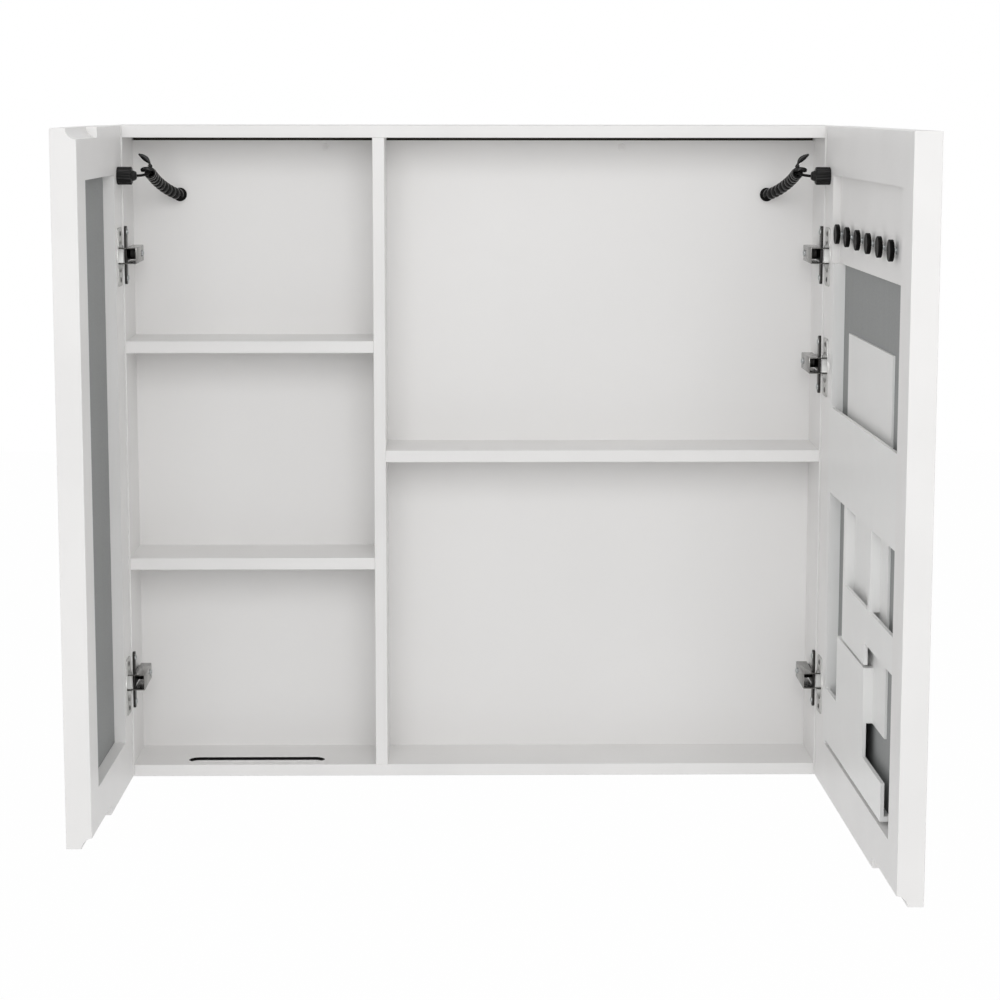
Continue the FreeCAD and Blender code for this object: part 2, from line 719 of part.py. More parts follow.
def hinge_arms(door):
    """Folded steel arms with their eyes, one group."""
    arms, screws = piece(f"{door.side}_hinge_arms"), piece(f"{door.side}_arm_screws")
    front, end = f"({door.pivot_y} - dim.eye_radius)", f"({door.pivot_y} + dim.arm_length)"
    neck = f"{door.pivot_y} + dim.neck_rise"
    pivot = (door.pivot_x, door.pivot_y)
    half = "dim.arm_half_height"
    for local in door.hinges:
        z = f"({LOW} + {local})"
        tall = (f"{z} - {half}", f"{z} + {half}")
        for cheek in ((tall[0], f"{tall[0]} + dim.arm_sheet"), (f"{tall[1]} - dim.arm_sheet", tall[1])):
            block(arms, door.across("0", "dim.arm_high"), (front, neck), cheek)
            block(arms, door.across("dim.arm_low", "dim.arm_high"), (front, end), cheek)
            rod(arms, "z", pivot, cheek, "dim.eye_radius")
        block(arms, door.across(ARM_WEB, "dim.arm_high"), (front, end), tall)
        bore = (f"{tall[0]} - dim.overrun", f"{tall[1]} + dim.overrun")
        rod(arms, "z", pivot, bore, "dim.hinge_pin_radius + dim.pin_clearance", "Subtractive")
        at = (plate_middle(door), z)
        through = door.across(f"{ARM_WEB} - dim.overrun", "dim.arm_high + dim.overrun")
        rod(arms, "x", at, through, SCREW_HOLE, "Subtractive")
        rod(screws, "x", at, door.across(ARM_SCREW_END, "dim.arm_high"), "dim.screw_radius")
        head = door.across("dim.arm_high", "dim.arm_high + dim.screw_head")
        rod(screws, "x", at, head, "dim.screw_head_radius")
    high = value(door.inward("dim.arm_high"))
    soften(arms, "dim.arm_bend", lambda edge: runs_along(edge, "y") and lies_at(edge, "X", high))


# Distances inwards from the pivot: the side panel's face, and the inside of the arm's web
PANEL_FACE = "(dim.board - dim.pivot_in)"
ARM_WEB = "(dim.arm_high - dim.arm_sheet)"
ARM_SCREW_END = f"({ARM_WEB} - dim.screw_bite / 2)"
SCREW_HOLE = "dim.screw_radius + dim.pin_clearance"


def plate_middle(door):
    """Place along the depth of the cabinet where the screw through a hinge arm stands."""
    return f"(({FRONT} + dim.plate_start + {door.pivot_y} + dim.arm_length) / 2)"


def hinge_plates(door):
    """Mounting plates: tall wings near the side panel's front edge, and a raised bar under each arm."""
    plates, screws = piece(f"{door.side}_hinge_plates"), piece(f"{door.side}_plate_screws")
    side_panel = doc.getObject(f"{door.side}_side_panel")
    middle = plate_middle(door)
    wing, end = f"({FRONT} + dim.plate_wing_inset)", f"({door.pivot_y} + dim.arm_length)"
    top = f"({PANEL_FACE} + dim.plate_thickness)"
    bite = f"({PANEL_FACE} - dim.screw_bite / 2)"
    for local in door.hinges:
        z = f"({LOW} + {local})"
        bar = (f"{z} - dim.plate_bar_half_height", f"{z} + dim.plate_bar_half_height")
        wings = (f"{z} - dim.plate_wing_half_height", f"{z} + dim.plate_wing_half_height")
        block(plates, door.across(PANEL_FACE, top), (wing, f"{wing} + dim.plate_wing_width"), wings)
        block(plates, door.across(PANEL_FACE, top), (wing, end), bar)
        block(plates, door.across(PANEL_FACE, ARM_WEB), (f"{FRONT} + dim.plate_start", end), bar)
        arm_screw = door.across(f"{ARM_SCREW_END} - dim.pin_clearance", "dim.arm_high")
        rod(plates, "x", (middle, z), arm_screw, SCREW_HOLE, "Subtractive")
        for sign in (-1, 1):
            at = (f"{wing} + dim.plate_wing_width / 2", f"{z} + {sign} * dim.plate_screw_spacing / 2")
            through = door.across(f"{PANEL_FACE} - dim.overrun", f"{top} + dim.overrun")
            rod(plates, "x", at, through, SCREW_HOLE, "Subtractive")
            rod(screws, "x", at, door.across(bite, top), "dim.screw_radius")
            rod(screws, "x", at, door.across(top, f"{top} + dim.screw_head"), "dim.screw_head_radius")
            hole = door.across(f"{bite} - dim.pin_clearance", f"{PANEL_FACE} + dim.overrun")
            rod(side_panel, "x", at, hole, SCREW_HOLE, "Subtractive")
    tips = [value(f"{LOW} + {local} + {sign} * dim.plate_wing_half_height")
            for local in door.hinges for sign in (-1, 1)]

    def is_wing_corner(edge):
        return runs_along(edge, "x") and any(lies_at(edge, "Z", tip) for tip in tips)

    soften(plates, "dim.plate_round", is_wing_corner)


# Cable glands, leads and their spiral wraps

GLAND_AT = ("dim.gland_in", f"({HEIGHT} - dim.gland_drop)")


def bore_for_gland(door, stile):
    """Threaded hole of the cable gland."""
    depth = door.deep("-dim.overrun", "dim.gland_thread_length + dim.pin_clearance")
    rod(stile, "y", GLAND_AT, depth, "dim.gland_thread_radius + dim.pin_clearance", "Subtractive")


def gland(door):
    """Hexagonal cable gland with a grooved collar and a tapered mouth."""
    body = door.piece("cable_gland")
    rod(body, "y", GLAND_AT, door.deep("0", "dim.gland_thread_length"), "dim.gland_thread_radius")
    facing = Rotation(Vector(1, 0, 0), 90 * door.sense)
    prism = body.newObject("PartDesign::AdditivePrism", "hexagon")
    prism.Polygon = 6
    prism.setExpression("Circumradius", "dim.gland_corner_radius")
    prism.setExpression("Height", "dim.gland_hex_length")
    cone = body.newObject("PartDesign::AdditiveCone", "mouth")
    cone.setExpression("Radius1", "dim.gland_neck_radius")
    cone.setExpression("Radius2", "dim.gland_mouth_radius")
    cone.setExpression("Height", "dim.gland_neck_length")
    groove = body.newObject("PartDesign::SubtractiveTorus", "groove")
    groove.setExpression("Radius1", "dim.gland_corner_radius")
    groove.setExpression("Radius2", "dim.gland_groove_radius")
    heights = {prism: "0", cone: "dim.gland_hex_length", groove: "dim.gland_collar_length"}
    for shape, height in heights.items():
        shape.Placement = Placement(Vector(), facing)
        shape.setExpression("Placement.Base.x", GLAND_AT[0])
        shape.setExpression("Placement.Base.y", door.deep_at(f"-{height}"))
        shape.setExpression("Placement.Base.z", GLAND_AT[1])


# Left lead, from the gland's mouth to the rear of the back panel, with x counted inwards from
# the cabinet's outer side; the right one mirrors it.
LEAD_ROUTE = [
    (31.1, -138.5, 23.5),
    (35.9, -138.4, 23.9),
    (40.2, -135.9, 24.8),
    (42.6, -131.4, 25.8),
    (42.8, -125.8, 26.4),
    (42.9, -117.0, 25.4),
    (43.6, -105.0, 22.2),
    (45.4, -89.0, 17.4),
    (49.2, -71.5, 11.6),
    (54.4, -55.5, 6.2),
    (59.6, -42.0, 2.3),
    (62.7, -33.0, 0.8),
    (63.5, -25.5, 0.3),
    (63.5, -18.0, 0.3),
]
WRAPPED = slice(4, -2)
ARC_SHARE = 0.45


def rounded(points):
    """Edges of a route: straight runs joined by tangent arcs as large as the runs allow."""
    edges, radii = [], []
    start = points[0]
    for before, corner, after in zip(points, points[1:], points[2:]):
        back, ahead = (before - corner).normalize(), (after - corner).normalize()
        half_turn = (math.pi - back.getAngle(ahead)) / 2
        tangent = ARC_SHARE * min(before.distanceToPoint(corner), after.distanceToPoint(corner))
        radius = tangent / math.tan(half_turn)
        first, last = corner + back * tangent, corner + ahead * tangent
        bisector = (back + ahead).normalize()
        middle = corner + bisector * (radius / math.cos(half_turn) - radius)
        edges.append(Part.LineSegment(start, first).toShape())
        edges.append(Part.Arc(first, middle, last).toShape())
        radii.append(radius)
        start = last
    edges.append(Part.LineSegment(start, points[-1]).toShape())
    return edges, radii


def tube(edges, radius):
    """Solid round tube along joined edges."""
    path = Part.Wire(edges)
    start, heading = edges[0].Vertexes[0].Point, edges[0].tangentAt(edges[0].FirstParameter)
    section = Part.Wire(Part.makeCircle(radius, start, heading))
    return path.makePipeShell([section], True, False)


def solid_piece(label, shape):
    """A sub-part that is one swept solid."""
    feature = doc.addObject("Part::Feature", label)
    feature.Label = label
    feature.Shape = shape
    feature.Placement = Placement()
    pieces.append(feature)
    return feature


def biarc(start, start_way, end, end_way):
    """Two tangent arcs from one directed point to another, with equal tangent lengths."""
    chord, ways = end - start, start_way + end_way
    square = 2 * (1 - start_way.dot(end_way))
    along = chord.dot(ways)
    length = (-along + math.sqrt(along ** 2 + square * chord.dot(chord))) / square
    joint = (start + start_way * length + end - end_way * length) * 0.5
    return [arc_from(start, start_way, joint), arc_from(end, end_way * -1, joint, True)]


def arc_from(start, way, end, turn_round=False):
    """Arc that leaves a point in a direction and ends at another point."""
    chord = end - start
    across = chord - way * chord.dot(way)
    radius = chord.dot(chord) / (2 * across.Length)
    centre = start + across.normalize() * radius
    middle = centre + ((start + end) * 0.5 - centre).normalize() * radius
    ends = (end, start) if turn_round else (start, end)
    return Part.Arc(ends[0], middle, ends[1]).toShape()


STEPS = 8  # places worked out on each quarter turn of a wrap


def wrap_places(points):
    """Places along a helix round a route, each an eighth of a quarter turn from the next."""
    spine = Part.Wire(rounded(points)[0])
    quarters = int(4 * spine.Length / value("dim.wrap_pitch"))
    samples = spine.discretize(quarters * STEPS + 1)
    ways = [(after - before).normalize() for before, after in zip(samples, samples[1:])]
    ways.append(ways[-1])
    out = ways[0].cross(Vector(0, 0, 1))
    places = []
    for step, (centre, way) in enumerate(zip(samples, ways)):
        out = (out - way * out.dot(way)).normalize()
        turn = math.pi / 2 * step / STEPS
        around = out * math.cos(turn) + way.cross(out) * math.sin(turn)
        places.append(centre + around * value("dim.wrap_mean_radius"))
    return places


def wrap_edges(places):
    """Tangent arcs through a helix's places, two to each quarter turn, with straight ends."""
    corners = places[::STEPS]
    befores = [places[0]] + places[STEPS - 1::STEPS]
    afters = places[1::STEPS] + [places[-1]]
    ways = [(after - before).normalize() for before, after in zip(befores, afters)]
    edges = []
    for start, start_way, end, end_way in zip(corners, ways, corners[1:], ways[1:]):
        edges += biarc(start, start_way, end, end_way)
    straight = 2 * value("dim.wrap_strand_radius")
    first = Part.LineSegment(corners[0] - ways[0] * straight, corners[0]).toShape()
    last = Part.LineSegment(corners[-1], corners[-1] + ways[-1] * straight).toShape()
    return [first] + edges + [last]


def least_gap(places, radius):
    """Least gap between a wound strand and itself, half a turn or more along it."""
    half_turn = 2 * STEPS
    spans = [near.distanceToPoint(far)
             for index, near in enumerate(places) for far in places[index + half_turn:]]
    return min(spans) - 2 * radius


def leads(door):
    """Door lead and the black spiral wrap round its inner stretch."""
    side = value(SIDE)
    points = [Vector(door.sense * (side - x), y, z) for x, y, z in LEAD_ROUTE]
    edges, radii = rounded(points)
    radius = value("dim.lead_radius")
    lead = tube(edges, radius)
    length = sum(edge.Length for edge in edges)
    filled = lead.Volume / (math.pi * radius ** 2 * length)
    bends = " ".join(f"{bend:.0f}" for bend in radii)
    print(f"{door.side} lead: length {length:.1f}, volume share {filled:.4f}, radii {bends}")
    solid_piece(f"{door.side}_door_lead", lead)
    places = wrap_places(points[WRAPPED])
    strand = value("dim.wrap_strand_radius")
    print(f"{door.side} wrap: least gap to itself {least_gap(places, strand):.2f}")
    solid_piece(f"{door.side}_cable_wrap", tube(wrap_edges(places), strand))


# What the right door carries

def height_at(name):
    """Height on the right door at a share of the organizer's field."""
    return f"(dim.rail + dim.{name}_share * ({HOOK_BOARD_LOW} - dim.rail))"


def across_at(name):
    """Place across the right door at a share of the opening between its stiles."""
    return f"(dim.stile + dim.{name}_share * ({RIGHT_DOOR_WIDTH} - 2 * dim.stile))"


HOOK_BOARD_LOW = f"({HEIGHT} - dim.rail - dim.hook_board_height)"
OPENING = ("dim.stile", f"{RIGHT_DOOR_WIDTH} - dim.stile")


def hooks(door):
    """Board with a row of flat knob hooks on stems."""
    board = piece("hook_board", door.frame)
    block(board, OPENING, door.deep("dim.hook_board_deep", "dim.recess_depth"),
          (HOOK_BOARD_LOW, f"{HEIGHT} - dim.rail"))
    stems, knobs = piece("hook_stems", door.frame), piece("hook_knobs", door.frame)
    rear = "(dim.hook_knob_set + dim.hook_knob_thickness)"
    pitch = f"({across_at('hook_pitch')} - dim.stile)"
    for count in range(HOOK_COUNT):
        at = (f"dim.stile + dim.first_hook_in + {count} * {pitch}", f"{HOOK_BOARD_LOW} + dim.hook_rise")
        rod(knobs, "y", at, door.deep("dim.hook_knob_set", rear), "dim.hook_knob_radius")
        rod(stems, "y", at, door.deep(rear, "dim.hook_board_deep"), "dim.hook_stem_radius")
    face = value(door.deep_at("dim.hook_knob_set"))
    soften(knobs, "dim.hook_knob_round", lambda edge: lies_at(edge, "Y", face))


def organizer(door):
    """Shallow pockets: fronts flush with the frame, dividers, floors and a back sheet."""
    back_face = "(dim.recess_depth - dim.organizer_back_thickness)"
    front = door.deep("0", "dim.front_thickness")
    between = door.deep("dim.front_thickness", back_face)
    whole = door.deep("0", back_face)
    hinge_side, right = OPENING
    left = f"({hinge_side} + dim.organizer_border)"
    first_in, second_in = across_at("first_divider"), across_at("second_divider")
    first_out, second_out = f"({first_in} + dim.divider)", f"({second_in} + dim.divider)"
    lower_in, lower_out = across_at("lower_front_in"), across_at("lower_front_out")
    side_out = across_at("side_front_out")
    upper_low, middle_step = height_at("upper_front_low"), height_at("middle_front_step")
    middle_low, middle_high = height_at("middle_front_low"), height_at("middle_front_high")
    lower_low, lower_step = height_at("lower_front_low"), height_at("lower_front_step")
    lower_high, back_low = height_at("lower_front_high"), height_at("organizer_back_low")

    back = piece("organizer_back", door.frame)
    block(back, (across_at("organizer_back_in"), across_at("organizer_back_out")),
          door.deep(back_face, "dim.recess_depth"), (back_low, height_at("organizer_back_high")))
    upper = piece("upper_pocket_front", door.frame)
    block(upper, (left, right), front, (upper_low, height_at("upper_front_high")))
    middle = piece("middle_pocket_front", door.frame)
    block(middle, (first_out, right), front, (middle_step, middle_high))
    block(middle, (first_out, lower_out), front, (middle_low, middle_step))
    lower = piece("lower_pocket_front", door.frame)
    block(lower, (left, lower_out), front, (lower_low, lower_step))
    block(lower, (lower_in, lower_out), front, (lower_step, lower_high))
    side = piece("side_pocket_front", door.frame)
    block(side, (lower_out, side_out), front, (lower_low, height_at("side_front_high")))

    dividers = piece("organizer_dividers", door.frame)
    border = door.deep("0", "dim.recess_depth")
    block(dividers, (hinge_side, left), border, ("dim.rail", HOOK_BOARD_LOW))
    block(dividers, (first_in, first_out), whole, (middle_low, upper_low))
    block(dividers, (second_in, second_out), whole, (middle_high, upper_low))
    block(dividers, (lower_in, f"{lower_in} + dim.divider"), between, (back_low, lower_high))
    block(dividers, (f"{lower_out} - dim.divider", lower_out), between, (back_low, lower_high))

    floors = piece("organizer_floors", door.frame)
    spans = {upper_low: (left, right), middle_step: (first_out, right), lower_low: (left, side_out)}
    for low, across in spans.items():
        block(floors, across, between, (low, f"{low} + dim.floor_thickness"))


carcass()
dowels()
back_panel()
slot_trim()
grommets()
cleats()
driver()
for door in (LEFT, RIGHT):
    door_frame(door)
    panes(door)
    hinge_cups(door)
    hinge_arms(door)
    hinge_plates(door)
    gland(door)
    leads(door)
hooks(RIGHT)
organizer(RIGHT)
doc.recompute()

faults = [obj.Label for obj in doc.Objects if {"Invalid", "Error"} & set(obj.State)]
faults += [body.Label for body in pieces if body.Shape.isNull() or not body.Shape.isValid()]
if faults:
    raise RuntimeError(f"failed: {', '.join(faults)}")
os.makedirs("parts", exist_ok=True)
for body in pieces:
    body.Shape.exportStep(f"parts/{body.Label}.step")
print(f"{len(pieces)} sub-parts, {sum(len(body.Shape.Solids) for body in pieces)} solids")
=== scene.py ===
import functools
import math

import bmesh
import bpy
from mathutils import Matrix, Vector


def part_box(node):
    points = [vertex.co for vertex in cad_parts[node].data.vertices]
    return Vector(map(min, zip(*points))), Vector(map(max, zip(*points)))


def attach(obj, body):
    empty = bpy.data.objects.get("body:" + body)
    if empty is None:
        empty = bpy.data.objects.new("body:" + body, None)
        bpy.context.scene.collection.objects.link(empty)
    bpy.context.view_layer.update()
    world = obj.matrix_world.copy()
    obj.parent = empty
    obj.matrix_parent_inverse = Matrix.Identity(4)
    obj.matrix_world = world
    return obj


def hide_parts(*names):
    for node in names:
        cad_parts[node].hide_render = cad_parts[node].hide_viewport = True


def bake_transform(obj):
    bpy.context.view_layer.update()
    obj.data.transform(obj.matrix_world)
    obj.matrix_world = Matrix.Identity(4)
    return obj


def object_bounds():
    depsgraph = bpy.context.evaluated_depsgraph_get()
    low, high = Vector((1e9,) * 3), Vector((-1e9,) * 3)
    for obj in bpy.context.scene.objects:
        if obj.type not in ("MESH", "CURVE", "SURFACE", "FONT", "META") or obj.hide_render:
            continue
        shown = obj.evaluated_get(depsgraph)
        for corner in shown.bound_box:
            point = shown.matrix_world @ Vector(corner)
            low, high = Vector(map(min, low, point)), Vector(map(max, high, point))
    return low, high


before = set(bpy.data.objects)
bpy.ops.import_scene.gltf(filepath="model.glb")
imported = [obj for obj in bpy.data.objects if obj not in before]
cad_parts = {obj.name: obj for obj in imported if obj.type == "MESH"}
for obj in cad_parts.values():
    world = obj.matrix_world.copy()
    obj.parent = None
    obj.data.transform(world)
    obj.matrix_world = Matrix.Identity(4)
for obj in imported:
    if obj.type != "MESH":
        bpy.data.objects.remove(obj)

bl_info = {
    "name": "Medicine Cabinet",
    "version": (1, 0, 0),
    "blender": (4, 5, 0),
    "location": "3D View > Sidebar > Cabinet",
    "description": "Finishes, fasteners, door leads and stage of a white medicine cabinet with two doors",
    "category": "Object",
}

CAD_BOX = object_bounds()
SIDES = ("left", "right")
INWARD = {"left": 1, "right": -1}


def linear(code):
    """Linear colour with alpha from an sRGB hex code."""
    shares = [int(code[place:place + 2], 16) / 255 for place in (1, 3, 5)]
    return [share / 12.92 if share <= 0.04045 else ((share + 0.055) / 1.055) ** 2.4 for share in shares] + [1.0]


# User settings


def colour(label, words, code):
    """Colour setting of one finish."""
    return bpy.props.FloatVectorProperty(
        name=label, description=words, subtype="COLOR", size=4, min=0, max=1, default=linear(code))


def length(label, words, metres):
    """Length setting in metres."""
    return bpy.props.FloatProperty(
        name=label, description=words, unit="LENGTH", subtype="DISTANCE", min=0, precision=4, default=metres)


class CabinetColours(bpy.types.PropertyGroup):
    lacquer: colour("Lacquer", "Satin white on boards and door frames", "#EEEDEC")
    back_panel: colour("Back panel", "White melamine of the back panel", "#EDECEB")
    organizer: colour("Organizer", "White moulded pockets of the right door", "#EEEEED")
    mirror_back: colour("Mirror back", "Grey paint on the back of the mirrors", "#8F9191")
    cup_nickel: colour("Cup nickel", "Bright plating of the hinge cups", "#C9C9C7")
    # The arms' nickel is given a darker tone than the cups' as painted shade and dark reflection
    arm_nickel: colour("Arm nickel", "Darker plating of the hinge arms", "#8A8987")
    zinc: colour("Zinc", "Plating of screws and hook stems", "#BDC0C1")
    # The dark tone is painted dark reflection on the hinge plates and cup screws
    dark_zinc: colour("Dark zinc", "Plating of the hinge plates", "#3B3A39")
    black: colour("Black", "Leads, wraps, glands and knobs", "#080707")


class CabinetCords(bpy.types.PropertyGroup):
    lead_diameter: length("Lead diameter", "Thickness of a door lead", 0.0028)
    wrap_diameter: length("Wrap diameter", "Outer width of a spiral wrap", 0.0124)
    wrap_pitch: length("Wrap pitch", "Advance of the spiral wrap in one turn", 0.0096)
    band_width: length("Band width", "Width of the wrap's band", 0.0066)
    band_thickness: length("Band thickness", "Thickness of the wrap's band", 0.0026)
    tail_out: length("Tail reach", "Reach of the wrap's free end towards the door", 0.0109)
    tail_up: length("Tail rise", "Rise of the wrap's free end", 0.0145)


class CabinetFittings(bpy.types.PropertyGroup):
    screw_head_radius: length("Screw head radius", "Radius of a hinge screw's head", 0.0036)
    screw_head: length("Screw head height", "Height of a hinge screw's head", 0.0016)
    screw_shank_radius: length("Screw shank radius", "Radius of a hinge screw below its head", 0.0017)
    recess_width: length("Recess width", "Width of one arm of the cross recess", 0.0011)
    eased_edge: length("Eased edge", "Rounding of pressed metal and moulded edges", 0.00025)


# Small tools

# Corners closer than this are one corner, in metres
MERGE_DISTANCE = 1e-6
# Edges flatter than the first angle go away in an eased copy, and edges sharper than the second are eased
FLAT_EDGE, SHARP_EDGE = math.radians(1), math.radians(32)
# The doors stand open a little past square
OPEN_ANGLE = math.radians(91.25)
UP = Vector((0, 0, 1))


def feed(tree, node, inputs):
    """Set or link inputs of a node."""
    for key, given in inputs.items():
        if isinstance(given, bpy.types.NodeSocket):
            tree.links.new(given, node.inputs[key])
        else:
            node.inputs[key].default_value = given


def add_node(tree, kind, inputs=None, **settings):
    """Add a node, apply its settings, then set or link its inputs."""
    node = tree.nodes.new(kind)
    for name, setting in settings.items():
        setattr(node, name, setting)
    feed(tree, node, inputs or {})
    return node


def empty_tree(holder):
    """Node tree of a material or a world, with nothing in it."""
    holder.use_nodes = True
    holder.node_tree.nodes.clear()
    return holder.node_tree


def finish(surface):
    """Turn a function that gives a surface's inputs into one that makes the material, once for each setting."""
    @functools.cache
    def material(*settings):
        made = bpy.data.materials.new(settings[0] if settings else surface.__name__)
        tree = empty_tree(made)
        shader = add_node(tree, "ShaderNodeBsdfPrincipled")
        add_node(tree, "ShaderNodeOutputMaterial", {"Surface": shader.outputs[0]})
        place = add_node(tree, "ShaderNodeTexCoord").outputs["Object"]
        feed(tree, shader, surface(tree, place, *settings))
        return made
    return material


def shifted(rgba, factor):
    """Colour a little lighter or darker than another."""
    return [min(1.0, share * factor) for share in rgba[:3]] + [1.0]


def dress(nodes, material):
    """Give CAD nodes a finish through their material slots."""
    for name in nodes:
        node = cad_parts[name]
        if not node.material_slots:
            node.data.materials.append(material)
        for slot in node.material_slots:
            slot.material = material


def show(name, mesh, material, smooth_below=math.radians(35)):
    """Object at the origin for a finished mesh."""
    mesh.materials.clear()
    mesh.materials.append(material)
    mesh.shade_smooth()
    mesh.set_sharp_from_angle(angle=smooth_below)
    piece = bpy.data.objects.new(name, mesh)
    bpy.context.scene.collection.objects.link(piece)
    return piece


def fit(piece, body, slot, *nodes):
    """Let a piece ride on a body in place of CAD nodes."""
    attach(piece, body)
    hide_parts(*nodes)


def finished(name, shell):
    """Mesh from a shell, which is then freed."""
    mesh = bpy.data.meshes.new(name)
    shell.to_mesh(mesh)
    shell.free()
    return mesh


def merged_copy(node):
    """Working copy of a CAD node's mesh with its loose triangles joined."""
    shell = bmesh.new()
    shell.from_mesh(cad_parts[node].data)
    bmesh.ops.remove_doubles(shell, verts=shell.verts, dist=MERGE_DISTANCE)
    return shell


def eased_copy(node, width):
    """Copy of a CAD node's shape with its sharp edges eased, as pressing leaves them."""
    shell = merged_copy(node)
    bmesh.ops.dissolve_limit(shell, angle_limit=FLAT_EDGE, verts=shell.verts, edges=shell.edges)
    sharp = [edge for edge in shell.edges if edge.is_manifold and edge.calc_face_angle() > SHARP_EDGE]
    bmesh.ops.bevel(shell, geom=sharp, offset=width, segments=2, profile=0.5, affect="EDGES", clamp_overlap=True)
    return finished(f"{node}_eased", shell)


def solids_of(node):
    """Corner points of each separate solid of a CAD node, in the order of its mesh."""
    shell = merged_copy(node)
    reached, solids = set(), []
    for first in shell.verts:
        if first in reached:
            continue
        reached.add(first)
        trail, solid = [first], []
        while trail:
            corner = trail.pop()
            solid.append(corner.co.copy())
            for edge in corner.link_edges:
                other = edge.other_vert(corner)
                if other not in reached:
                    reached.add(other)
                    trail.append(other)
        solids.append(solid)
    shell.free()
    return solids


def seats_of(node, way, head):
    """Where the head of each solid in a CAD node sits, for heads that face along `way`."""
    across = way.cross(UP).normalized()
    seats = []
    for solid in solids_of(node):
        seat = Vector()
        for axis in (across, way.cross(across)):
            reach = [corner.dot(axis) for corner in solid]
            seat += axis * (min(reach) + max(reach)) / 2
        seats.append(seat + way * (max(corner.dot(way) for corner in solid) - head))
    return seats


def from_door(side):
    """Direction out of an open door's inner face."""
    return Vector((INWARD[side] * math.sin(OPEN_ANGLE), math.cos(OPEN_ANGLE), 0))


def points_mesh(name, places, way):
    """Loose points that all face one way, for a node tree to put instances on."""
    mesh = bpy.data.meshes.new(name)
    mesh.from_pydata([tuple(place) for place in places], [], [])
    facing = mesh.attributes.new("facing", "FLOAT_VECTOR", "POINT")
    for item in facing.data:
        item.vector = way
    return mesh


def grown(name, points, tree, settings):
    """Plain mesh that a node tree makes from points; settings go to its inputs by name."""
    holder = bpy.data.objects.new(name, points)
    bpy.context.scene.collection.objects.link(holder)
    modifier = holder.modifiers.new("Grown", "NODES")
    modifier.node_group = tree
    for socket in tree.interface.items_tree:
        if socket.in_out == "INPUT" and socket.name in settings:
            modifier[socket.identifier] = settings[socket.name]
    graph = bpy.context.evaluated_depsgraph_get()
    mesh = bpy.data.meshes.new_from_object(holder.evaluated_get(graph), depsgraph=graph)
    holder.modifiers.remove(modifier)
    bpy.data.objects.remove(holder)
    mesh.name = name
    return mesh


# Patterns of the finishes, with sizes and depths in metres


def stretched(tree, place, sizes):
    """Coordinates that count in a size of their own along each axis."""
    return add_node(tree, "ShaderNodeMapping", {"Vector": place, "Scale": [1 / size for size in sizes]}).outputs[0]


def noise(tree, place, size, detail, **more):
    """Noise with features of one size."""
    inputs = {"Vector": place, "Scale": 1 / size, "Detail": detail, **more}
    return add_node(tree, "ShaderNodeTexNoise", inputs).outputs["Fac"]


def cells(tree, place, size):
    """Soft cells of one size."""
    inputs = {"Vector": place, "Scale": 1 / size}
    return add_node(tree, "ShaderNodeTexVoronoi", inputs, feature="SMOOTH_F1").outputs["Distance"]


def between(tree, share, first, second):
    """Colour between two others."""
    inputs = {"Factor": share, "A": first, "B": second}
    return add_node(tree, "ShaderNodeMix", inputs, data_type="RGBA").outputs["Result"]


def tone_of(name):
    """Colour that the user has set."""
    return getattr(bpy.context.scene.cabinet_colours, name)


def tinted(tree, share, name, low, high):
    """Colour between two shifted forms of one that the user has set."""
    return between(tree, share, shifted(tone_of(name), low), shifted(tone_of(name), high))


def gloss(tree, share, low, high, rise=(0.3, 0.7)):
    """Roughness that goes from one value to another while a pattern rises."""
    inputs = {"Value": share, "From Min": rise[0], "From Max": rise[1], "To Min": low, "To Max": high}
    return add_node(tree, "ShaderNodeMapRange", inputs).outputs["Result"]


def relief(tree, height, strength, depth):
    """Normal of a fine relief."""
    inputs = {"Height": height, "Strength": strength, "Distance": depth}
    return add_node(tree, "ShaderNodeBump", inputs).outputs["Normal"]


# Finishes


@finish
def satin_white_lacquer(tree, place):
    """Sprayed and rolled satin lacquer on primed board: a soft gloss over a fine stipple."""
    # Film thickness drifts over about 120 mm and shifts the white very slightly
    drift = noise(tree, place, 0.12, 2.0)
    ramp = add_node(tree, "ShaderNodeValToRGB", {"Fac": drift})
    for stop, position, factor in zip(ramp.color_ramp.elements, (0.3, 0.7), (0.965, 1.015)):
        stop.position, stop.color = position, shifted(tone_of("lacquer"), factor)
    # The stipple of a foam roller is about 1 mm, drawn at 3 mm so that it shows
    stipple = noise(tree, place, 0.003, 3.0)
    return {
        "Base Color": ramp.outputs["Color"], "Roughness": gloss(tree, stipple, 0.36, 0.46),
        "Normal": relief(tree, stipple, 0.25, 0.00012), "IOR": 1.5}


@finish
def white_melamine(tree, place):
    """Melamine-faced hardboard: even white with the press plate's fine pearl texture."""
    # The white drifts over about 200 mm
    drift = noise(tree, place, 0.2, 1.0)
    # Pearl of about 0.8 mm, drawn at 2 mm
    pearl = cells(tree, place, 0.002)
    return {
        "Base Color": tinted(tree, drift, "back_panel", 0.975, 1.01), "Roughness": 0.45,
        "Normal": relief(tree, pearl, 0.2, 0.0001), "IOR": 1.55}


@finish
def white_polystyrene(tree, place):
    """Injection-moulded polystyrene: a spark-eroded grain breaks up its gloss."""
    # The melt's flow marks are about 60 mm across
    flow = noise(tree, place, 0.06, 2.0, Distortion=1.5)
    # Grain of about 0.4 mm, drawn at 1.5 mm
    grain = noise(tree, place, 0.0015, 4.0)
    return {
        "Base Color": tinted(tree, flow, "organizer", 0.97, 1.01), "Roughness": gloss(tree, grain, 0.3, 0.42),
        "Normal": relief(tree, grain, 0.2, 0.00008), "IOR": 1.59}


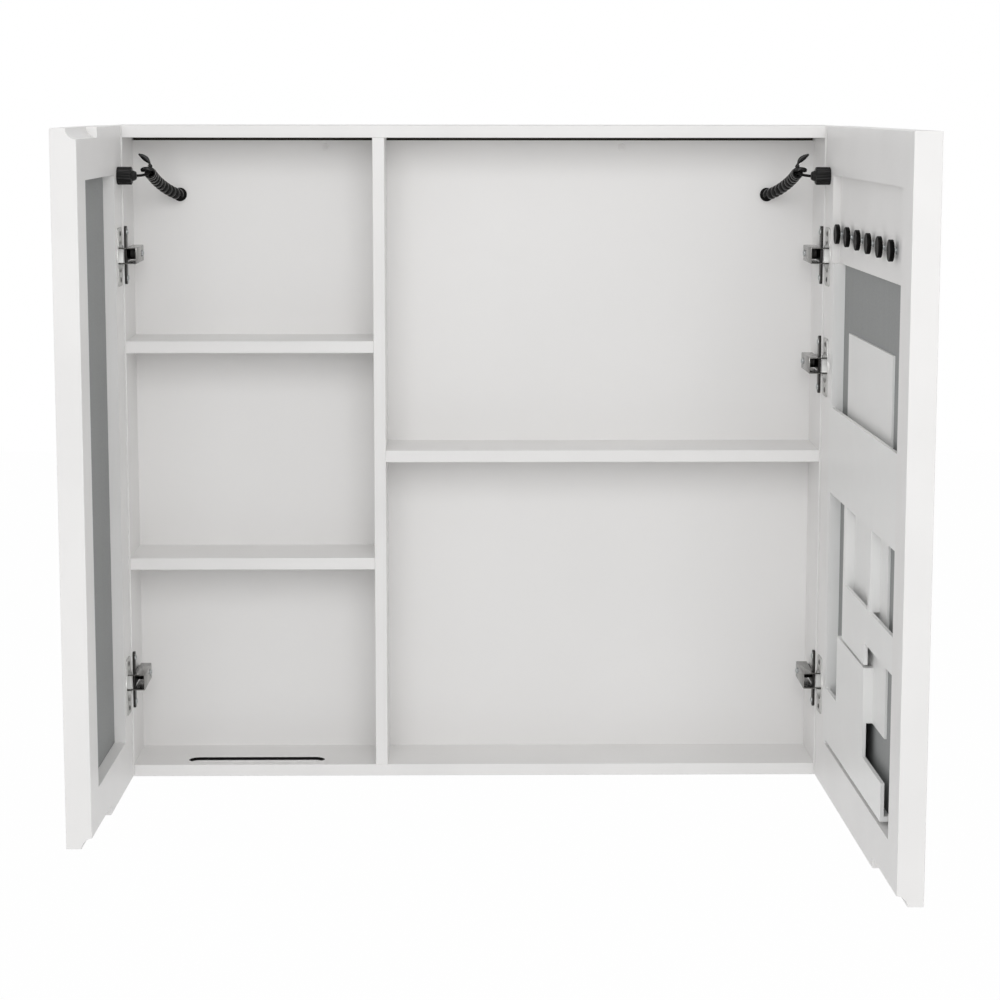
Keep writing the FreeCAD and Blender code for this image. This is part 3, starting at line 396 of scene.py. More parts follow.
@finish
def grey_mirror_paint(tree, place):
    """Protective paint on the back of a mirror, curtain-coated: matt, with faint vertical streaks."""
    # Streaks about 12 mm wide run the height of the glass
    streaks = noise(tree, stretched(tree, place, (0.012, 0.012, 0.6)), 1.0, 3.0)
    # Pigment grit of about 0.5 mm, drawn at 2 mm
    grit = noise(tree, place, 0.002, 3.0)
    return {
        "Base Color": tinted(tree, streaks, "mirror_back", 0.95, 1.05), "Roughness": gloss(tree, grit, 0.52, 0.66),
        "Normal": relief(tree, grit, 0.15, 0.00006)}


@finish
def silvered_glass(tree, place):
    """Float glass silvered on its back: a clean mirror with the faintest waviness."""
    # Float glass undulates over about 150 mm
    wave = noise(tree, place, 0.15, 0.0)
    return {
        "Base Color": between(tree, wave, linear("#E3E9E6"), linear("#EDF1EF")), "Roughness": 0.015,
        "Normal": relief(tree, wave, 0.05, 0.0002), "Metallic": 1.0}


@finish
def opal_silicone(tree, place):
    """Opal silicone diffuser of an unlit light strip: milky, with a pale dot over each diode."""
    # Diodes about 8 mm apart show through as soft dots
    dots = add_node(tree, "ShaderNodeTexVoronoi", {"Vector": place, "Scale": 1 / 0.008, "Randomness": 0.0})
    return {
        "Base Color": between(tree, dots.outputs["Distance"], linear("#F4EFD9"), linear("#EEF0F0")),
        "Roughness": 0.5, "IOR": 1.41, "Subsurface Weight": 0.3, "Subsurface Scale": 0.002}


@finish
def pressed_nickel(tree, place, name, roughness):
    """Nickel-plated pressed steel of a hinge part, with the drawn lines of the strip under the plating."""
    # Drawing lines about 0.15 mm apart, drawn at 0.6 mm, run across the arms
    lines = noise(tree, stretched(tree, place, (0.02, 0.02, 0.0006)), 1.0, 2.0)
    # The plating hazes over about 10 mm
    haze = noise(tree, place, 0.01, 2.0)
    return {
        "Base Color": tinted(tree, haze, name, 0.9, 1.05),
        "Roughness": gloss(tree, lines, roughness - 0.06, roughness + 0.06),
        "Normal": relief(tree, lines, 0.08, 0.00003), "Metallic": 1.0}


@finish
def zinc_plate(tree, place):
    """Blue-passivated zinc on screws: greyer and duller than nickel, with a cloudy bloom."""
    # The bloom clouds over about 1.5 mm
    bloom = noise(tree, place, 0.0015, 3.0)
    return {
        "Base Color": tinted(tree, bloom, "zinc", 0.82, 1.04), "Roughness": gloss(tree, bloom, 0.22, 0.4),
        "Metallic": 1.0}


@finish
def dark_zinc_plate(tree, place):
    """Zinc on hinge plates and cup screws, darkened to gunmetal as painted dark reflection: cloudy, paler where the
    passivation is thin.
    """
    # The passivation clouds over about 2 mm
    cloud = noise(tree, place, 0.002, 3.0)
    return {
        "Base Color": tinted(tree, cloud, "dark_zinc", 0.75, 1.35), "Roughness": gloss(tree, cloud, 0.26, 0.42),
        "Metallic": 1.0}


@finish
def black_nylon(tree, place):
    """Moulded nylon of the cable glands: black, with a leathery grain that greys the highlights."""
    # Grain of about 0.4 mm, drawn at 0.9 mm
    grain = cells(tree, place, 0.0009)
    return {
        "Base Color": tinted(tree, grain, "black", 1.5, 0.9),
        "Roughness": gloss(tree, grain, 0.28, 0.44, rise=(0.0, 1.0)),
        "Normal": relief(tree, grain, 0.3, 0.00008), "IOR": 1.53, "Specular IOR Level": 0.22}


@finish
def black_cable_sheath(tree, _):
    """Extruded PVC sheath: matt black with fine lines along its length."""
    along = add_node(tree, "ShaderNodeUVMap", uv_map="run").outputs["UV"]
    # Extrusion lines about 0.3 mm apart round the sheath
    lines = noise(tree, stretched(tree, along, (0.0003, 0.02, 1.0)), 1.0, 2.0)
    return {
        "Base Color": tinted(tree, lines, "black", 0.8, 1.4), "Roughness": gloss(tree, lines, 0.42, 0.58),
        "IOR": 1.53, "Specular IOR Level": 0.1}


@finish
def black_polyethylene(tree, _):
    """Polyethylene spiral band: waxy black, scuffed along the direction it was cut."""
    along = add_node(tree, "ShaderNodeUVMap", uv_map="run").outputs["UV"]
    # Scuffs about 0.5 mm wide and 15 mm long follow the band
    scuffs = noise(tree, stretched(tree, along, (0.0005, 0.015, 1.0)), 1.0, 3.0)
    return {
        "Base Color": tinted(tree, scuffs, "black", 0.75, 1.5), "Roughness": gloss(tree, scuffs, 0.14, 0.26),
        "IOR": 1.51, "Specular IOR Level": 0.25}


@finish
def black_rubber(tree, place):
    """Moulded rubber of grommets and slot trim: dull black with a dusty bloom; on the slot trim the black is painted
    shade.
    """
    # Bloom patches of about 3 mm
    bloom = noise(tree, place, 0.003, 3.0)
    return {
        "Base Color": tinted(tree, bloom, "black", 0.9, 2.0), "Roughness": gloss(tree, bloom, 0.62, 0.8),
        "IOR": 1.52, "Specular IOR Level": 0.12}


@finish
def black_powder_coat(tree, place):
    """Satin powder coat on the hook knobs: orange peel under a soft gloss."""
    # Orange peel of about 1 mm
    peel = noise(tree, place, 0.001, 1.0)
    return {
        "Base Color": tinted(tree, peel, "black", 0.9, 1.3), "Roughness": 0.45,
        "Normal": relief(tree, peel, 0.3, 0.0001), "Specular IOR Level": 0.06}


@finish
def turned_beech(tree, place):
    """Beech of the dowels: pinkish straw with short dark flecks along the grain."""
    # Flecks about 0.4 mm wide and 3 mm long
    flecks = noise(tree, stretched(tree, place, (0.003, 0.0004, 0.0004)), 1.0, 2.0)
    return {
        "Base Color": between(tree, flecks, linear("#B98B62"), linear("#DDBB92")), "Roughness": 0.6}


@finish
def birch_plywood(tree, place, _, depth):
    """Birch plywood of the cleats: faces with long grain, plies on the sawn edges, every tone darkened by a factor,
    which on the cabinet's cleat is painted shade.
    """
    # A factor below 1 darkens every tone; on the cabinet's cleat this is painted shade
    face_tones = [shifted(linear(code), depth) for code in ("#CFAE7E", "#EAD5AF")]
    edge_tones = [shifted(linear(code), depth) for code in ("#B98F5E", "#E8D3AC")]
    # Plies 1.5 mm thick lie one behind another, light and dark by turns; a band's period is pi / 10 / scale
    plies = add_node(tree, "ShaderNodeTexWave", {
        "Vector": place, "Scale": math.pi / 10 / 0.003, "Distortion": 0.4, "Detail": 1.0}, bands_direction="Y")
    edge = between(tree, plies.outputs["Fac"], *edge_tones)
    # Grain lines about 1.2 mm apart run along the cleat
    grain = noise(tree, stretched(tree, place, (0.09, 0.0012, 0.0012)), 1.0, 4.0)
    wood = between(tree, grain, *face_tones)
    facing = add_node(tree, "ShaderNodeNewGeometry")
    normal = add_node(tree, "ShaderNodeSeparateXYZ", {"Vector": facing.outputs["Normal"]})
    face = add_node(tree, "ShaderNodeMath", {0: normal.outputs["Y"]}, operation="ABSOLUTE")
    is_face = add_node(tree, "ShaderNodeMath", {0: face.outputs[0], 1: 0.9}, operation="GREATER_THAN")
    return {
        "Base Color": between(tree, is_face.outputs[0], edge, wood), "Roughness": 0.65,
        "Normal": relief(tree, grain, 0.2, 0.0002)}


@finish
def white_abs(tree, place):
    """Moulded ABS case of the lighting driver: off-white with a matt eroded texture."""
    # Texture of about 0.6 mm, drawn at 1.5 mm
    grain = cells(tree, place, 0.0015)
    return {
        "Base Color": between(tree, grain, linear("#E4E4DF"), linear("#D6D6D0")), "Roughness": 0.52,
        "Normal": relief(tree, grain, 0.3, 0.0001), "IOR": 1.54}


# Stage

# Camera fitted to the photograph: lens and sensor in millimetres, place in metres, turns in degrees
LENS, SENSOR = 95.44, 36
CAMERA_PLACE = (-0.01565, -2.9115, 0.1008)
CAMERA_TURNS = (90 - 8.567, -0.045, -0.871)
# Place, width and height in metres and power in watts of each softbox, and the point that all of them face
SOFTBOXES = {
    "front_softbox": ((0.0, -2.9, 0.8), 2.2, 1.3, 28),
    "left_softbox": ((-2.6, -2.0, 0.9), 1.3, 1.6, 4),
    "right_softbox": ((2.6, -2.0, 0.9), 1.3, 1.6, 4),
}
SOFTBOX_AIM = Vector((0, -0.2, -0.27))
WHITE = (1, 1, 1, 1)
AMBIENT = 0.58
# Half the floor's width and its drop below the cabinet in metres, and the share of white that the camera sees on it
FLOOR_REACH, FLOOR_DROP, FLOOR_WHITE = 6, 0.45, 0.985


def white_to_the_eye(tree, plain, share):
    """Shader that is white to the camera and in reflections, and plain as a source of light."""
    rays = add_node(tree, "ShaderNodeLightPath")
    glossy = add_node(tree, "ShaderNodeMath", {
        0: rays.outputs["Is Camera Ray"], 1: rays.outputs["Is Glossy Ray"]}, operation="MAXIMUM")
    seen = add_node(tree, "ShaderNodeMath", {
        0: glossy.outputs[0], 1: rays.outputs["Is Transmission Ray"]}, operation="MAXIMUM")
    part = add_node(tree, "ShaderNodeMath", {0: seen.outputs[0], 1: share}, operation="MULTIPLY")
    white = add_node(tree, "ShaderNodeEmission", {"Color": WHITE, "Strength": 1.0})
    return add_node(tree, "ShaderNodeMixShader", {0: part.outputs[0], 1: plain, 2: white.outputs[0]}).outputs[0]


class CABINET_OT_stage(bpy.types.Operator):
    """Camera, soft front light, white surroundings and floor"""
    bl_idname = "cabinet.stage"
    bl_label = "Stage"

    def execute(self, context):
        scene = context.scene
        scene.view_settings.view_transform = "Standard"
        lens = bpy.data.cameras.new("view")
        lens.lens, lens.sensor_width = LENS, SENSOR
        camera = bpy.data.objects.new("view", lens)
        camera.location = CAMERA_PLACE
        camera.rotation_euler = [math.radians(turn) for turn in CAMERA_TURNS]
        scene.collection.objects.link(camera)
        scene.camera = camera

        for name, (place, width, height, power) in SOFTBOXES.items():
            lamp = bpy.data.lights.new(name, "AREA")
            lamp.shape = "RECTANGLE"
            lamp.size, lamp.size_y, lamp.energy = width, height, power
            softbox = bpy.data.objects.new(name, lamp)
            softbox.location = place
            softbox.rotation_euler = (SOFTBOX_AIM - softbox.location).to_track_quat("-Z", "Y").to_euler()
            scene.collection.objects.link(softbox)

        scene.world = bpy.data.worlds.new("white_room")
        tree = empty_tree(scene.world)
        ambient = add_node(tree, "ShaderNodeBackground", {"Color": WHITE, "Strength": AMBIENT})
        add_node(tree, "ShaderNodeOutputWorld", {"Surface": white_to_the_eye(tree, ambient.outputs[0], 1.0)})

        sheet = bmesh.new()
        bmesh.ops.create_grid(sheet, x_segments=1, y_segments=1, size=FLOOR_REACH)
        bmesh.ops.translate(sheet, verts=sheet.verts, vec=(0, 0, CAD_BOX[0][2] - FLOOR_DROP))
        mesh = finished("floor", sheet)
        paper = bpy.data.materials.new("white_paper")
        tree = empty_tree(paper)
        plain = add_node(tree, "ShaderNodeBsdfDiffuse", {"Color": linear("#F4F4F4")})
        add_node(tree, "ShaderNodeOutputMaterial", {
            "Surface": white_to_the_eye(tree, plain.outputs[0], FLOOR_WHITE)})
        mesh.materials.append(paper)
        floor = bpy.data.objects.new("floor", mesh)
        scene.collection.objects.link(floor)
        return {"FINISHED"}


# Door leads and their wraps

# The left lead's route in metres, from the gland's mouth to the rear of the back panel, with x counted
# inwards from the cabinet's outer side; the right one mirrors it.
LEAD_ROUTE = (
    (0.0311, -0.1385, 0.0235),
    (0.0359, -0.1384, 0.0239),
    (0.0402, -0.1359, 0.0248),
    (0.0426, -0.1314, 0.0258),
    (0.0428, -0.1258, 0.0264),
    (0.0429, -0.1170, 0.0254),
    (0.0436, -0.1050, 0.0222),
    (0.0454, -0.0890, 0.0174),
    (0.0492, -0.0715, 0.0116),
    (0.0544, -0.0555, 0.0062),
    (0.0596, -0.0420, 0.0023),
    (0.0627, -0.0330, 0.0008),
    (0.0635, -0.0255, 0.0003),
    (0.0635, -0.0180, 0.0003),
)
WRAP_FROM, WRAP_TO = LEAD_ROUTE[4], LEAD_ROUTE[-3]
# The wraps run between these points, which keeps them clear of side panels and glands
# Points round a lead and along one turn of its wrap
LEAD_POINTS, TURN_POINTS = 16, 40
# The wrap's last points at the back panel, and the share of width that each loses to the one before
FADE_POINTS, FADE_SHARE = 8, 0.08
# Points round the band's section, and a power below 1 that makes the section boxier than an ellipse
BAND_POINTS, BAND_POWER = 16, 0.85
# Shares of the band's width from the tip of a free end to its root: a leaf with a neck, and a blunt stub
TAIL_WIDTHS = (
    0.25, 0.45, 0.62, 0.75, 0.82, 0.85, 0.85, 0.8, 0.72, 0.6, 0.48, 0.38, 0.35, 0.45, 0.62, 0.8, 0.92, 1.0)
FLAP_WIDTHS = (0.4, 0.6, 0.7) + (0.75,) * 12 + (0.8, 0.9, 1.0)
# How far the leaf's tip comes forward in metres, and its knee's place as shares of its reach and rise
TAIL_FORWARD, TAIL_KNEE_IN, TAIL_KNEE_UP = 0.001, 0.32, 0.45
# The stub's tip, knee and root, counted outwards, back and up from the wrap's first point, in metres: it crosses
# the front of the first turn above the lead and stands out beside it
FLAP_ROUTE = ((0.0085, -0.004, -0.0025), (0.001, -0.006, 0.0005), (-0.004, -0.003, -0.0025))
# Share of a free end that keeps its flat side to the front, and share of the band's thickness at its tip
END_FLAT, END_THIN = 0.55, 0.45


def placed(side, point):
    """Point of the left or right lead in the row frame."""
    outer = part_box(f"{side}_side_panel")[0 if side == "left" else 1][0]
    return Vector((outer + INWARD[side] * point[0], point[1], point[2]))


def lead_path(side):
    """Points along a lead's smooth line."""
    curve = bpy.data.curves.new("route", "CURVE")
    curve.dimensions = "3D"
    curve.resolution_u = 16
    spline = curve.splines.new("NURBS")
    spline.points.add(len(LEAD_ROUTE) - 1)
    for point, place in zip(spline.points, LEAD_ROUTE):
        point.co = (*placed(side, place), 1)
    spline.order_u = 3
    spline.use_endpoint_u = True
    holder = bpy.data.objects.new("route", curve)
    line = bpy.data.meshes.new_from_object(holder)
    path = [corner.co.copy() for corner in line.vertices]
    bpy.data.objects.remove(holder)
    bpy.data.meshes.remove(line)
    return path


def runs_along(points):
    """Distance along a line from its first point to each of its points."""
    runs = [0.0]
    for before, after in zip(points, points[1:]):
        runs.append(runs[-1] + (after - before).length)
    return runs


def ways_along(points):
    """Direction of a line at each of its points."""
    befores, afters = [points[0]] + points[:-1], points[1:] + [points[-1]]
    return [(after - before).normalized() for before, after in zip(befores, afters)]


def frames_along(path):
    """Direction of a path at each point, and a sideways vector that doesn't spin about it."""
    ways = ways_along(path)
    across, sides = ways[0].orthogonal().normalized(), []
    for way in ways:
        across = (across - way * across.dot(way)).normalized()
        sides.append(across)
    return ways, sides


def ring(centre, across, up, reaches):
    """Closed section with a reach for each of its points, at equal steps round a centre."""
    turns = [2 * math.pi * place / len(reaches) for place in range(len(reaches))]
    return [centre + (across * math.cos(turn) + up * math.sin(turn)) * reach for turn, reach in zip(turns, reaches)]


def mended(mesh, merge=None):
    """The same mesh with its faces turned outwards, after joining corners closer than `merge`."""
    shell = bmesh.new()
    shell.from_mesh(mesh)
    if merge:
        bmesh.ops.remove_doubles(shell, verts=shell.verts, dist=merge)
    bmesh.ops.recalc_face_normals(shell, faces=shell.faces)
    shell.to_mesh(mesh)
    shell.free()
    return mesh


def skin(name, sections):
    """Mesh through closed sections with flat ends, and a UV map in metres round and along it."""
    count, rows = len(sections[0]), len(sections)
    faces = [tuple(reversed(range(count))), tuple(range((rows - 1) * count, rows * count))]
    for row in range(rows - 1):
        for place in range(count):
            start, after = row * count + place, row * count + (place + 1) % count
            faces.append((start, after, after + count, start + count))
    mesh = bpy.data.meshes.new(name)
    mesh.from_pydata([tuple(corner) for section in sections for corner in section], [], faces)
    rounds = runs_along(sections[0] + sections[0][:1])
    runs = runs_along([section[0] for section in sections])
    layer = mesh.uv_layers.new(name="run")
    for face in mesh.polygons:
        last = any(mesh.loops[loop].vertex_index % count == count - 1 for loop in face.loop_indices)
        for loop in face.loop_indices:
            row, place = divmod(mesh.loops[loop].vertex_index, count)
            layer.data[loop].uv = (rounds[count if place == 0 and last else place], runs[row])
    return mended(mesh)


class CABINET_OT_door_leads(bpy.types.Operator):
    """Thin black lead from each door's gland to the back panel, in its spiral wrap"""
    bl_idname = "cabinet.door_leads"
    bl_label = "Door leads"

    def execute(self, context):
        cords = context.scene.cabinet_cords
        for side in SIDES:
            path = lead_path(side)
            lead = self.lead(side, path, cords)
            wrap = self.wrap(side, path, cords)
            for piece, node, slot in ((lead, "door_lead", "black_cable"), (wrap, "cable_wrap", "black_wrap")):
                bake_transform(piece)
                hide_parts(f"{side}_{node}")
        return {"FINISHED"}

    def lead(self, side, path, cords):
        """Round sheath along the route."""
        reaches = [cords.lead_diameter / 2] * LEAD_POINTS
        sections = [ring(centre, across, way.cross(across), reaches)
                    for centre, way, across in zip(path, *frames_along(path))]
        return show(f"{side}_lead", skin(f"{side}_lead", sections), black_cable_sheath())

    def wrap(self, side, path, cords):
        """Band wound round the lead, with two free ends at the door."""
        turns = self.turns(side, path, cords)
        root, radial = turns[0]
        outward = Vector((-INWARD[side], 0, 0))

        def beside(out, back, up):
            """Point counted outwards, back and up from the first point of the turns."""
            return root + outward * out + Vector((0, back, up))

        tail = leaf(beside(cords.tail_out, -TAIL_FORWARD, cords.tail_up),
                    beside(-TAIL_KNEE_IN * cords.tail_out, 0, TAIL_KNEE_UP * cords.tail_up),
                    root, radial, TAIL_WIDTHS)
        flap = leaf(*(beside(*place) for place in FLAP_ROUTE), radial, FLAP_WIDTHS)
        widths = [1.0] * (len(turns) - FADE_POINTS) + [1 - FADE_SHARE * step for step in range(FADE_POINTS)]
        coil = [(*place, width, 1.0) for place, width in zip(turns, widths)]
        meshes = [skin(f"{side}_wrap", [band_section(cords, *place) for place in with_ways(run)])
                  for run in (tail + coil, flap)]
        return show(f"{side}_wrap", joined(f"{side}_wrap", meshes), black_polyethylene())

    def turns(self, side, path, cords):
        """Middle of the band and its direction away from the lead, at each point along the turns."""
        (ways, sides), runs = frames_along(path), runs_along(path)
        first, last = (min(range(len(path)), key=lambda index: (path[index] - placed(side, mark)).length)
                       for mark in (WRAP_FROM, WRAP_TO))
        count = (runs[last] - runs[first]) / cords.wrap_pitch
        steps = int(count * TURN_POINTS)
        mean = (cords.wrap_diameter - cords.band_thickness) / 2
        # The band starts on top of the lead and goes inwards from there
        up = ways[first].cross(sides[first])
        start = math.atan2(up.z, sides[first].z)
        sense = 1 if (up * math.cos(start) - sides[first] * math.sin(start)).x * INWARD[side] > 0 else -1
        places, index = [], first
        for step in range(steps + 1):
            run = runs[first] + (runs[last] - runs[first]) * step / steps
            while index < last - 1 and runs[index + 1] < run:
                index += 1
            share = (run - runs[index]) / (runs[index + 1] - runs[index])
            spine = path[index].lerp(path[index + 1], share)
            way = ways[index].lerp(ways[index + 1], share).normalized()
            across = sides[index].lerp(sides[index + 1], share)
            across = (across - way * across.dot(way)).normalized()
            turn = start + sense * 2 * math.pi * count * step / steps
            radial = across * math.cos(turn) + way.cross(across) * math.sin(turn)
            places.append((spine + radial * mean, radial))
        return places


def leaf(tip, knee, root, radial, widths):
    """Places along a free end that turns its flat side to the front."""
    places = []
    front = Vector((0, -1, 0))
    for step, width in enumerate(widths):
        share = step / len(widths)
        centre = tip * (1 - share) ** 2 + knee * 2 * share * (1 - share) + root * share ** 2
        turned = max(0.0, (share - END_FLAT) / (1 - END_FLAT))
        places.append((centre, front.lerp(radial, turned), width, END_THIN + (1 - END_THIN) * share))
    return places


def with_ways(run):
    """Add the direction of the run to each of its places."""
    ways = ways_along([place[0] for place in run])
    return [(centre, way, *rest) for (centre, *rest), way in zip(run, ways)]


def band_section(cords, centre, way, radial, width, thickness):
    """Rounded section of the wrap's band across its direction."""
    out = (radial - way * radial.dot(way)).normalized()
    flat = way.cross(out)
    section = []
    for place in range(BAND_POINTS):
        turn = 2 * math.pi * place / BAND_POINTS
        wide = math.copysign(abs(math.cos(turn)) ** BAND_POWER, math.cos(turn)) * cords.band_width / 2 * width
        thick = math.sin(turn) * cords.band_thickness / 2 * thickness
        section.append(centre + flat * wide + out * thick)
    return section


def joined(name, meshes):
    """One mesh from several."""
    shell = bmesh.new()
    for mesh in meshes:
        shell.from_mesh(mesh)
    return finished(name, shell)


# Woodwork, mirrors and organizer


class CABINET_OT_woodwork(bpy.types.Operator):
    """Lacquer on boards and door frames, melamine on the back panel, bare wood on dowels and cleats"""
    bl_idname = "cabinet.woodwork"
    bl_label = "Woodwork"

    def execute(self, context):
        frames = [f"{side}_door_{part}" for side in SIDES
                  for part in ("hinge_stile", "free_stile", "top_rail", "bottom_rail")]
        boards = [f"{side}_side_panel" for side in SIDES]
        boards += ["top_panel", "bottom_panel", "partition", "hook_board"]
        boards += ["left_upper_shelf", "left_lower_shelf", "right_shelf"]
        dress(frames + boards, satin_white_lacquer())
        dress(["back_panel"], white_melamine())
        dress(["carcass_dowels"], turned_beech())
        dress(["wall_cleat"], birch_plywood("birch_plywood", 1.0))
        # The cabinet's own cleat shows through the gap above the back panel; its wood is darkened nearly to black as
        # painted shade, so that the gap reads as a dark line
        dress(["cabinet_cleat"], birch_plywood("dark_stained_plywood", 0.04))
        return {"FINISHED"}


class CABINET_OT_mirrors(bpy.types.Operator):
    """Silvered glass, the grey paint behind it and the unlit light strips"""
    bl_idname = "cabinet.mirrors"
    bl_label = "Mirrors"

    def execute(self, context):
        dress([f"{side}_mirror" for side in SIDES], silvered_glass())
        dress([f"{side}_mirror_backing" for side in SIDES], grey_mirror_paint())
        dress([f"{side}_light_strips" for side in SIDES], opal_silicone())
        return {"FINISHED"}


class CABINET_OT_organizer(bpy.types.Operator):
    """Moulded pockets of the right door"""
    bl_idname = "cabinet.organizer"
    bl_label = "Organizer"

    def execute(self, context):
        fronts = [f"{place}_pocket_front" for place in ("upper", "middle", "lower", "side")]
        dress(fronts + ["organizer_back", "organizer_dividers", "organizer_floors"], white_polystyrene())
        return {"FINISHED"}


# Hinges, glands and small fittings

CUP_ROUGHNESS, ARM_ROUGHNESS = 0.5, 0.2
# Height along a gland's axis from the door, radius and depth of its grip flutes, in metres
GLAND_RINGS = (
    (-0.0088, 0.0, 0), (-0.0088, 0.005, 0), (-0.0002, 0.005, 0), (0.0, 0.0088, 0), (0.0004, 0.0092, 0.0004),
    (0.001, 0.0093, 0.0008), (0.014, 0.0093, 0.0008), (0.0148, 0.009, 0.0004), (0.0154, 0.008, 0),
    (0.0156, 0.0058, 0), (0.0164, 0.0055, 0), (0.0192, 0.0043, 0), (0.0198, 0.0036, 0), (0.02, 0.0027, 0),
    (0.0198, 0.0016, 0), (0.0198, 0.0, 0),
)
# Height of a gland above the door in metres, its flutes, the points on each, and what joins its end rings to a point
GLAND_HEIGHT, GLAND_FLUTES, FLUTE_POINTS, GLAND_MERGE = 0.02, 16, 8, 1e-7
# Head radius, head height, shank radius and shank length of a cleat screw, and a hinge screw's shank, in metres
CLEAT_SCREW = (0.004, 0.0012, 0.0019, 0.016)
HINGE_SHANK = 0.005
# Shares of a screw head's radius and height that its cross recess takes up
RECESS_LENGTH, RECESS_DEPTH = 1.15, 1.5
# Radius and height from the knob's rear face, in metres: a flat disc with a soft rim and a faint dish
KNOB_HEIGHT = 0.0042
KNOB = (
    (0, 0), (0.0097, 0), (0.01, 0.0001), (0.0102, 0.0004), (0.0102, 0.0036), (0.01, 0.004), (0.0096, KNOB_HEIGHT),
    (0.009, KNOB_HEIGHT), (0.007, 0.0041), (0.004, 0.0039), (0, 0.0038),
)
# A stem with a collar at each end, from the board up to the knob
STEM_HEIGHT = 0.0037
STEM = (
    (0, 0), (0.0036, 0), (0.0036, 0.0006), (0.0026, 0.001), (0.0024, 0.0018), (0.0026, 0.0028), (0.0034, 0.0032),
    (0.0034, STEM_HEIGHT), (0, STEM_HEIGHT),
)


class CABINET_OT_hinges(bpy.types.Operator):
    """Pressed hinge cups, arms and plates with eased edges"""
    bl_idname = "cabinet.hinges"
    bl_label = "Hinges"

    def execute(self, context):
        eased = context.scene.cabinet_fittings.eased_edge
        for side in SIDES:
            pressings = (
                ("hinge_cups", f"{side}_door", pressed_nickel("cup_nickel", CUP_ROUGHNESS), "nickel"),
                # The arms' darker nickel is painted shade and dark reflection
                ("hinge_arms", "cabinet", pressed_nickel("arm_nickel", ARM_ROUGHNESS), "nickel"),
                # The plates' dark zinc is painted dark reflection
                ("hinge_plates", "cabinet", dark_zinc_plate(), "dark_zinc"),
            )
            for part, body, finish, slot in pressings:
                node = f"{side}_{part}"
                fit(show(f"{node}_eased", eased_copy(node, eased), finish), body, slot, node)
            dress([f"{side}_hinge_pins"], zinc_plate())
        return {"FINISHED"}


class CABINET_OT_glands(bpy.types.Operator):
    """Fluted cable glands, grommets, slot trim and the driver's case"""
    bl_idname = "cabinet.glands"
    bl_label = "Glands and driver"

    def execute(self, context):
        count = GLAND_FLUTES * FLUTE_POINTS
        turns = [2 * math.pi * place / count for place in range(count)]
        # 0 on the ridges of the flutes and 1 in their grooves
        sunk = [(0.5 - 0.5 * math.cos(turn * GLAND_FLUTES)) ** 2 for turn in turns]
        for side in SIDES:
            node = f"{side}_cable_gland"
            way = from_door(side)
            (root,) = seats_of(node, way, GLAND_HEIGHT)
            across = way.cross(UP).normalized()
            sections = [ring(root + way * height, across, UP, [radius - flute * share for share in sunk])
                        for height, radius, flute in GLAND_RINGS]
            mesh = mended(skin(f"{node}_fluted", sections), GLAND_MERGE)
            fit(show(f"{node}_fluted", mesh, black_nylon()), f"{side}_door", "black_nylon", node)
        # The slot trim is black as painted shade, so that the tissue slot reads dark like its shaded inside
        dress(["lead_grommets", "slot_trim"], black_rubber())
        dress(["lighting_driver"], white_abs())
        return {"FINISHED"}


def new_tree(name, inputs):
    """Geometry node tree with named inputs: returns it and its input node."""
    tree = bpy.data.node_groups.new(name, "GeometryNodeTree")
    tree.interface.new_socket("Geometry", in_out="OUTPUT", socket_type="NodeSocketGeometry")
    tree.interface.new_socket("Geometry", in_out="INPUT", socket_type="NodeSocketGeometry")
    for label, kind in inputs.items():
        tree.interface.new_socket(label, in_out="INPUT", socket_type=f"NodeSocket{kind}")
    return tree, add_node(tree, "NodeGroupInput")


def times(tree, length, factor):
    """Length socket multiplied by a number."""
    return add_node(tree, "ShaderNodeMath", {0: length, 1: factor}, operation="MULTIPLY").outputs[0]


def vector(tree, **axes):
    """Vector socket from values along X, Y and Z."""
    return add_node(tree, "ShaderNodeCombineXYZ", axes).outputs[0]


def moved(tree, shape, **inputs):
    """Geometry socket of a moved, turned or scaled shape."""
    return add_node(tree, "GeometryNodeTransform", {"Geometry": shape.outputs["Mesh"], **inputs}).outputs[0]


def instances(tree, given, shape, spin):
    """Put a shape on every point, facing its way and turned by up to `spin`, and end the tree."""
    facing = add_node(tree, "GeometryNodeInputNamedAttribute", {"Name": "facing"}, data_type="FLOAT_VECTOR")
    aligned = add_node(tree, "FunctionNodeAlignRotationToVector", {"Vector": facing.outputs["Attribute"]}, axis="Z")
    angle = add_node(tree, "FunctionNodeRandomValue", {"Min": 0.0, "Max": spin, "Seed": 5}, data_type="FLOAT")
    angle_socket = next(socket for socket in angle.outputs if socket.enabled)
    roll = add_node(tree, "FunctionNodeAxisAngleToRotation", {"Axis": UP, "Angle": angle_socket})
    turned = add_node(tree, "FunctionNodeRotateRotation", {
        0: aligned.outputs[0], 1: roll.outputs[0]}, rotation_space="LOCAL")
    placed_on = add_node(tree, "GeometryNodeInstanceOnPoints", {
        "Points": given.outputs["Geometry"], "Instance": shape, "Rotation": turned.outputs[0]})
    plain = add_node(tree, "GeometryNodeRealizeInstances", {"Geometry": placed_on.outputs[0]})
    dressed = add_node(tree, "GeometryNodeSetMaterial", {
        "Geometry": plain.outputs[0], "Material": given.outputs["Material"]})
    add_node(tree, "NodeGroupOutput", {"Geometry": dressed.outputs[0]})


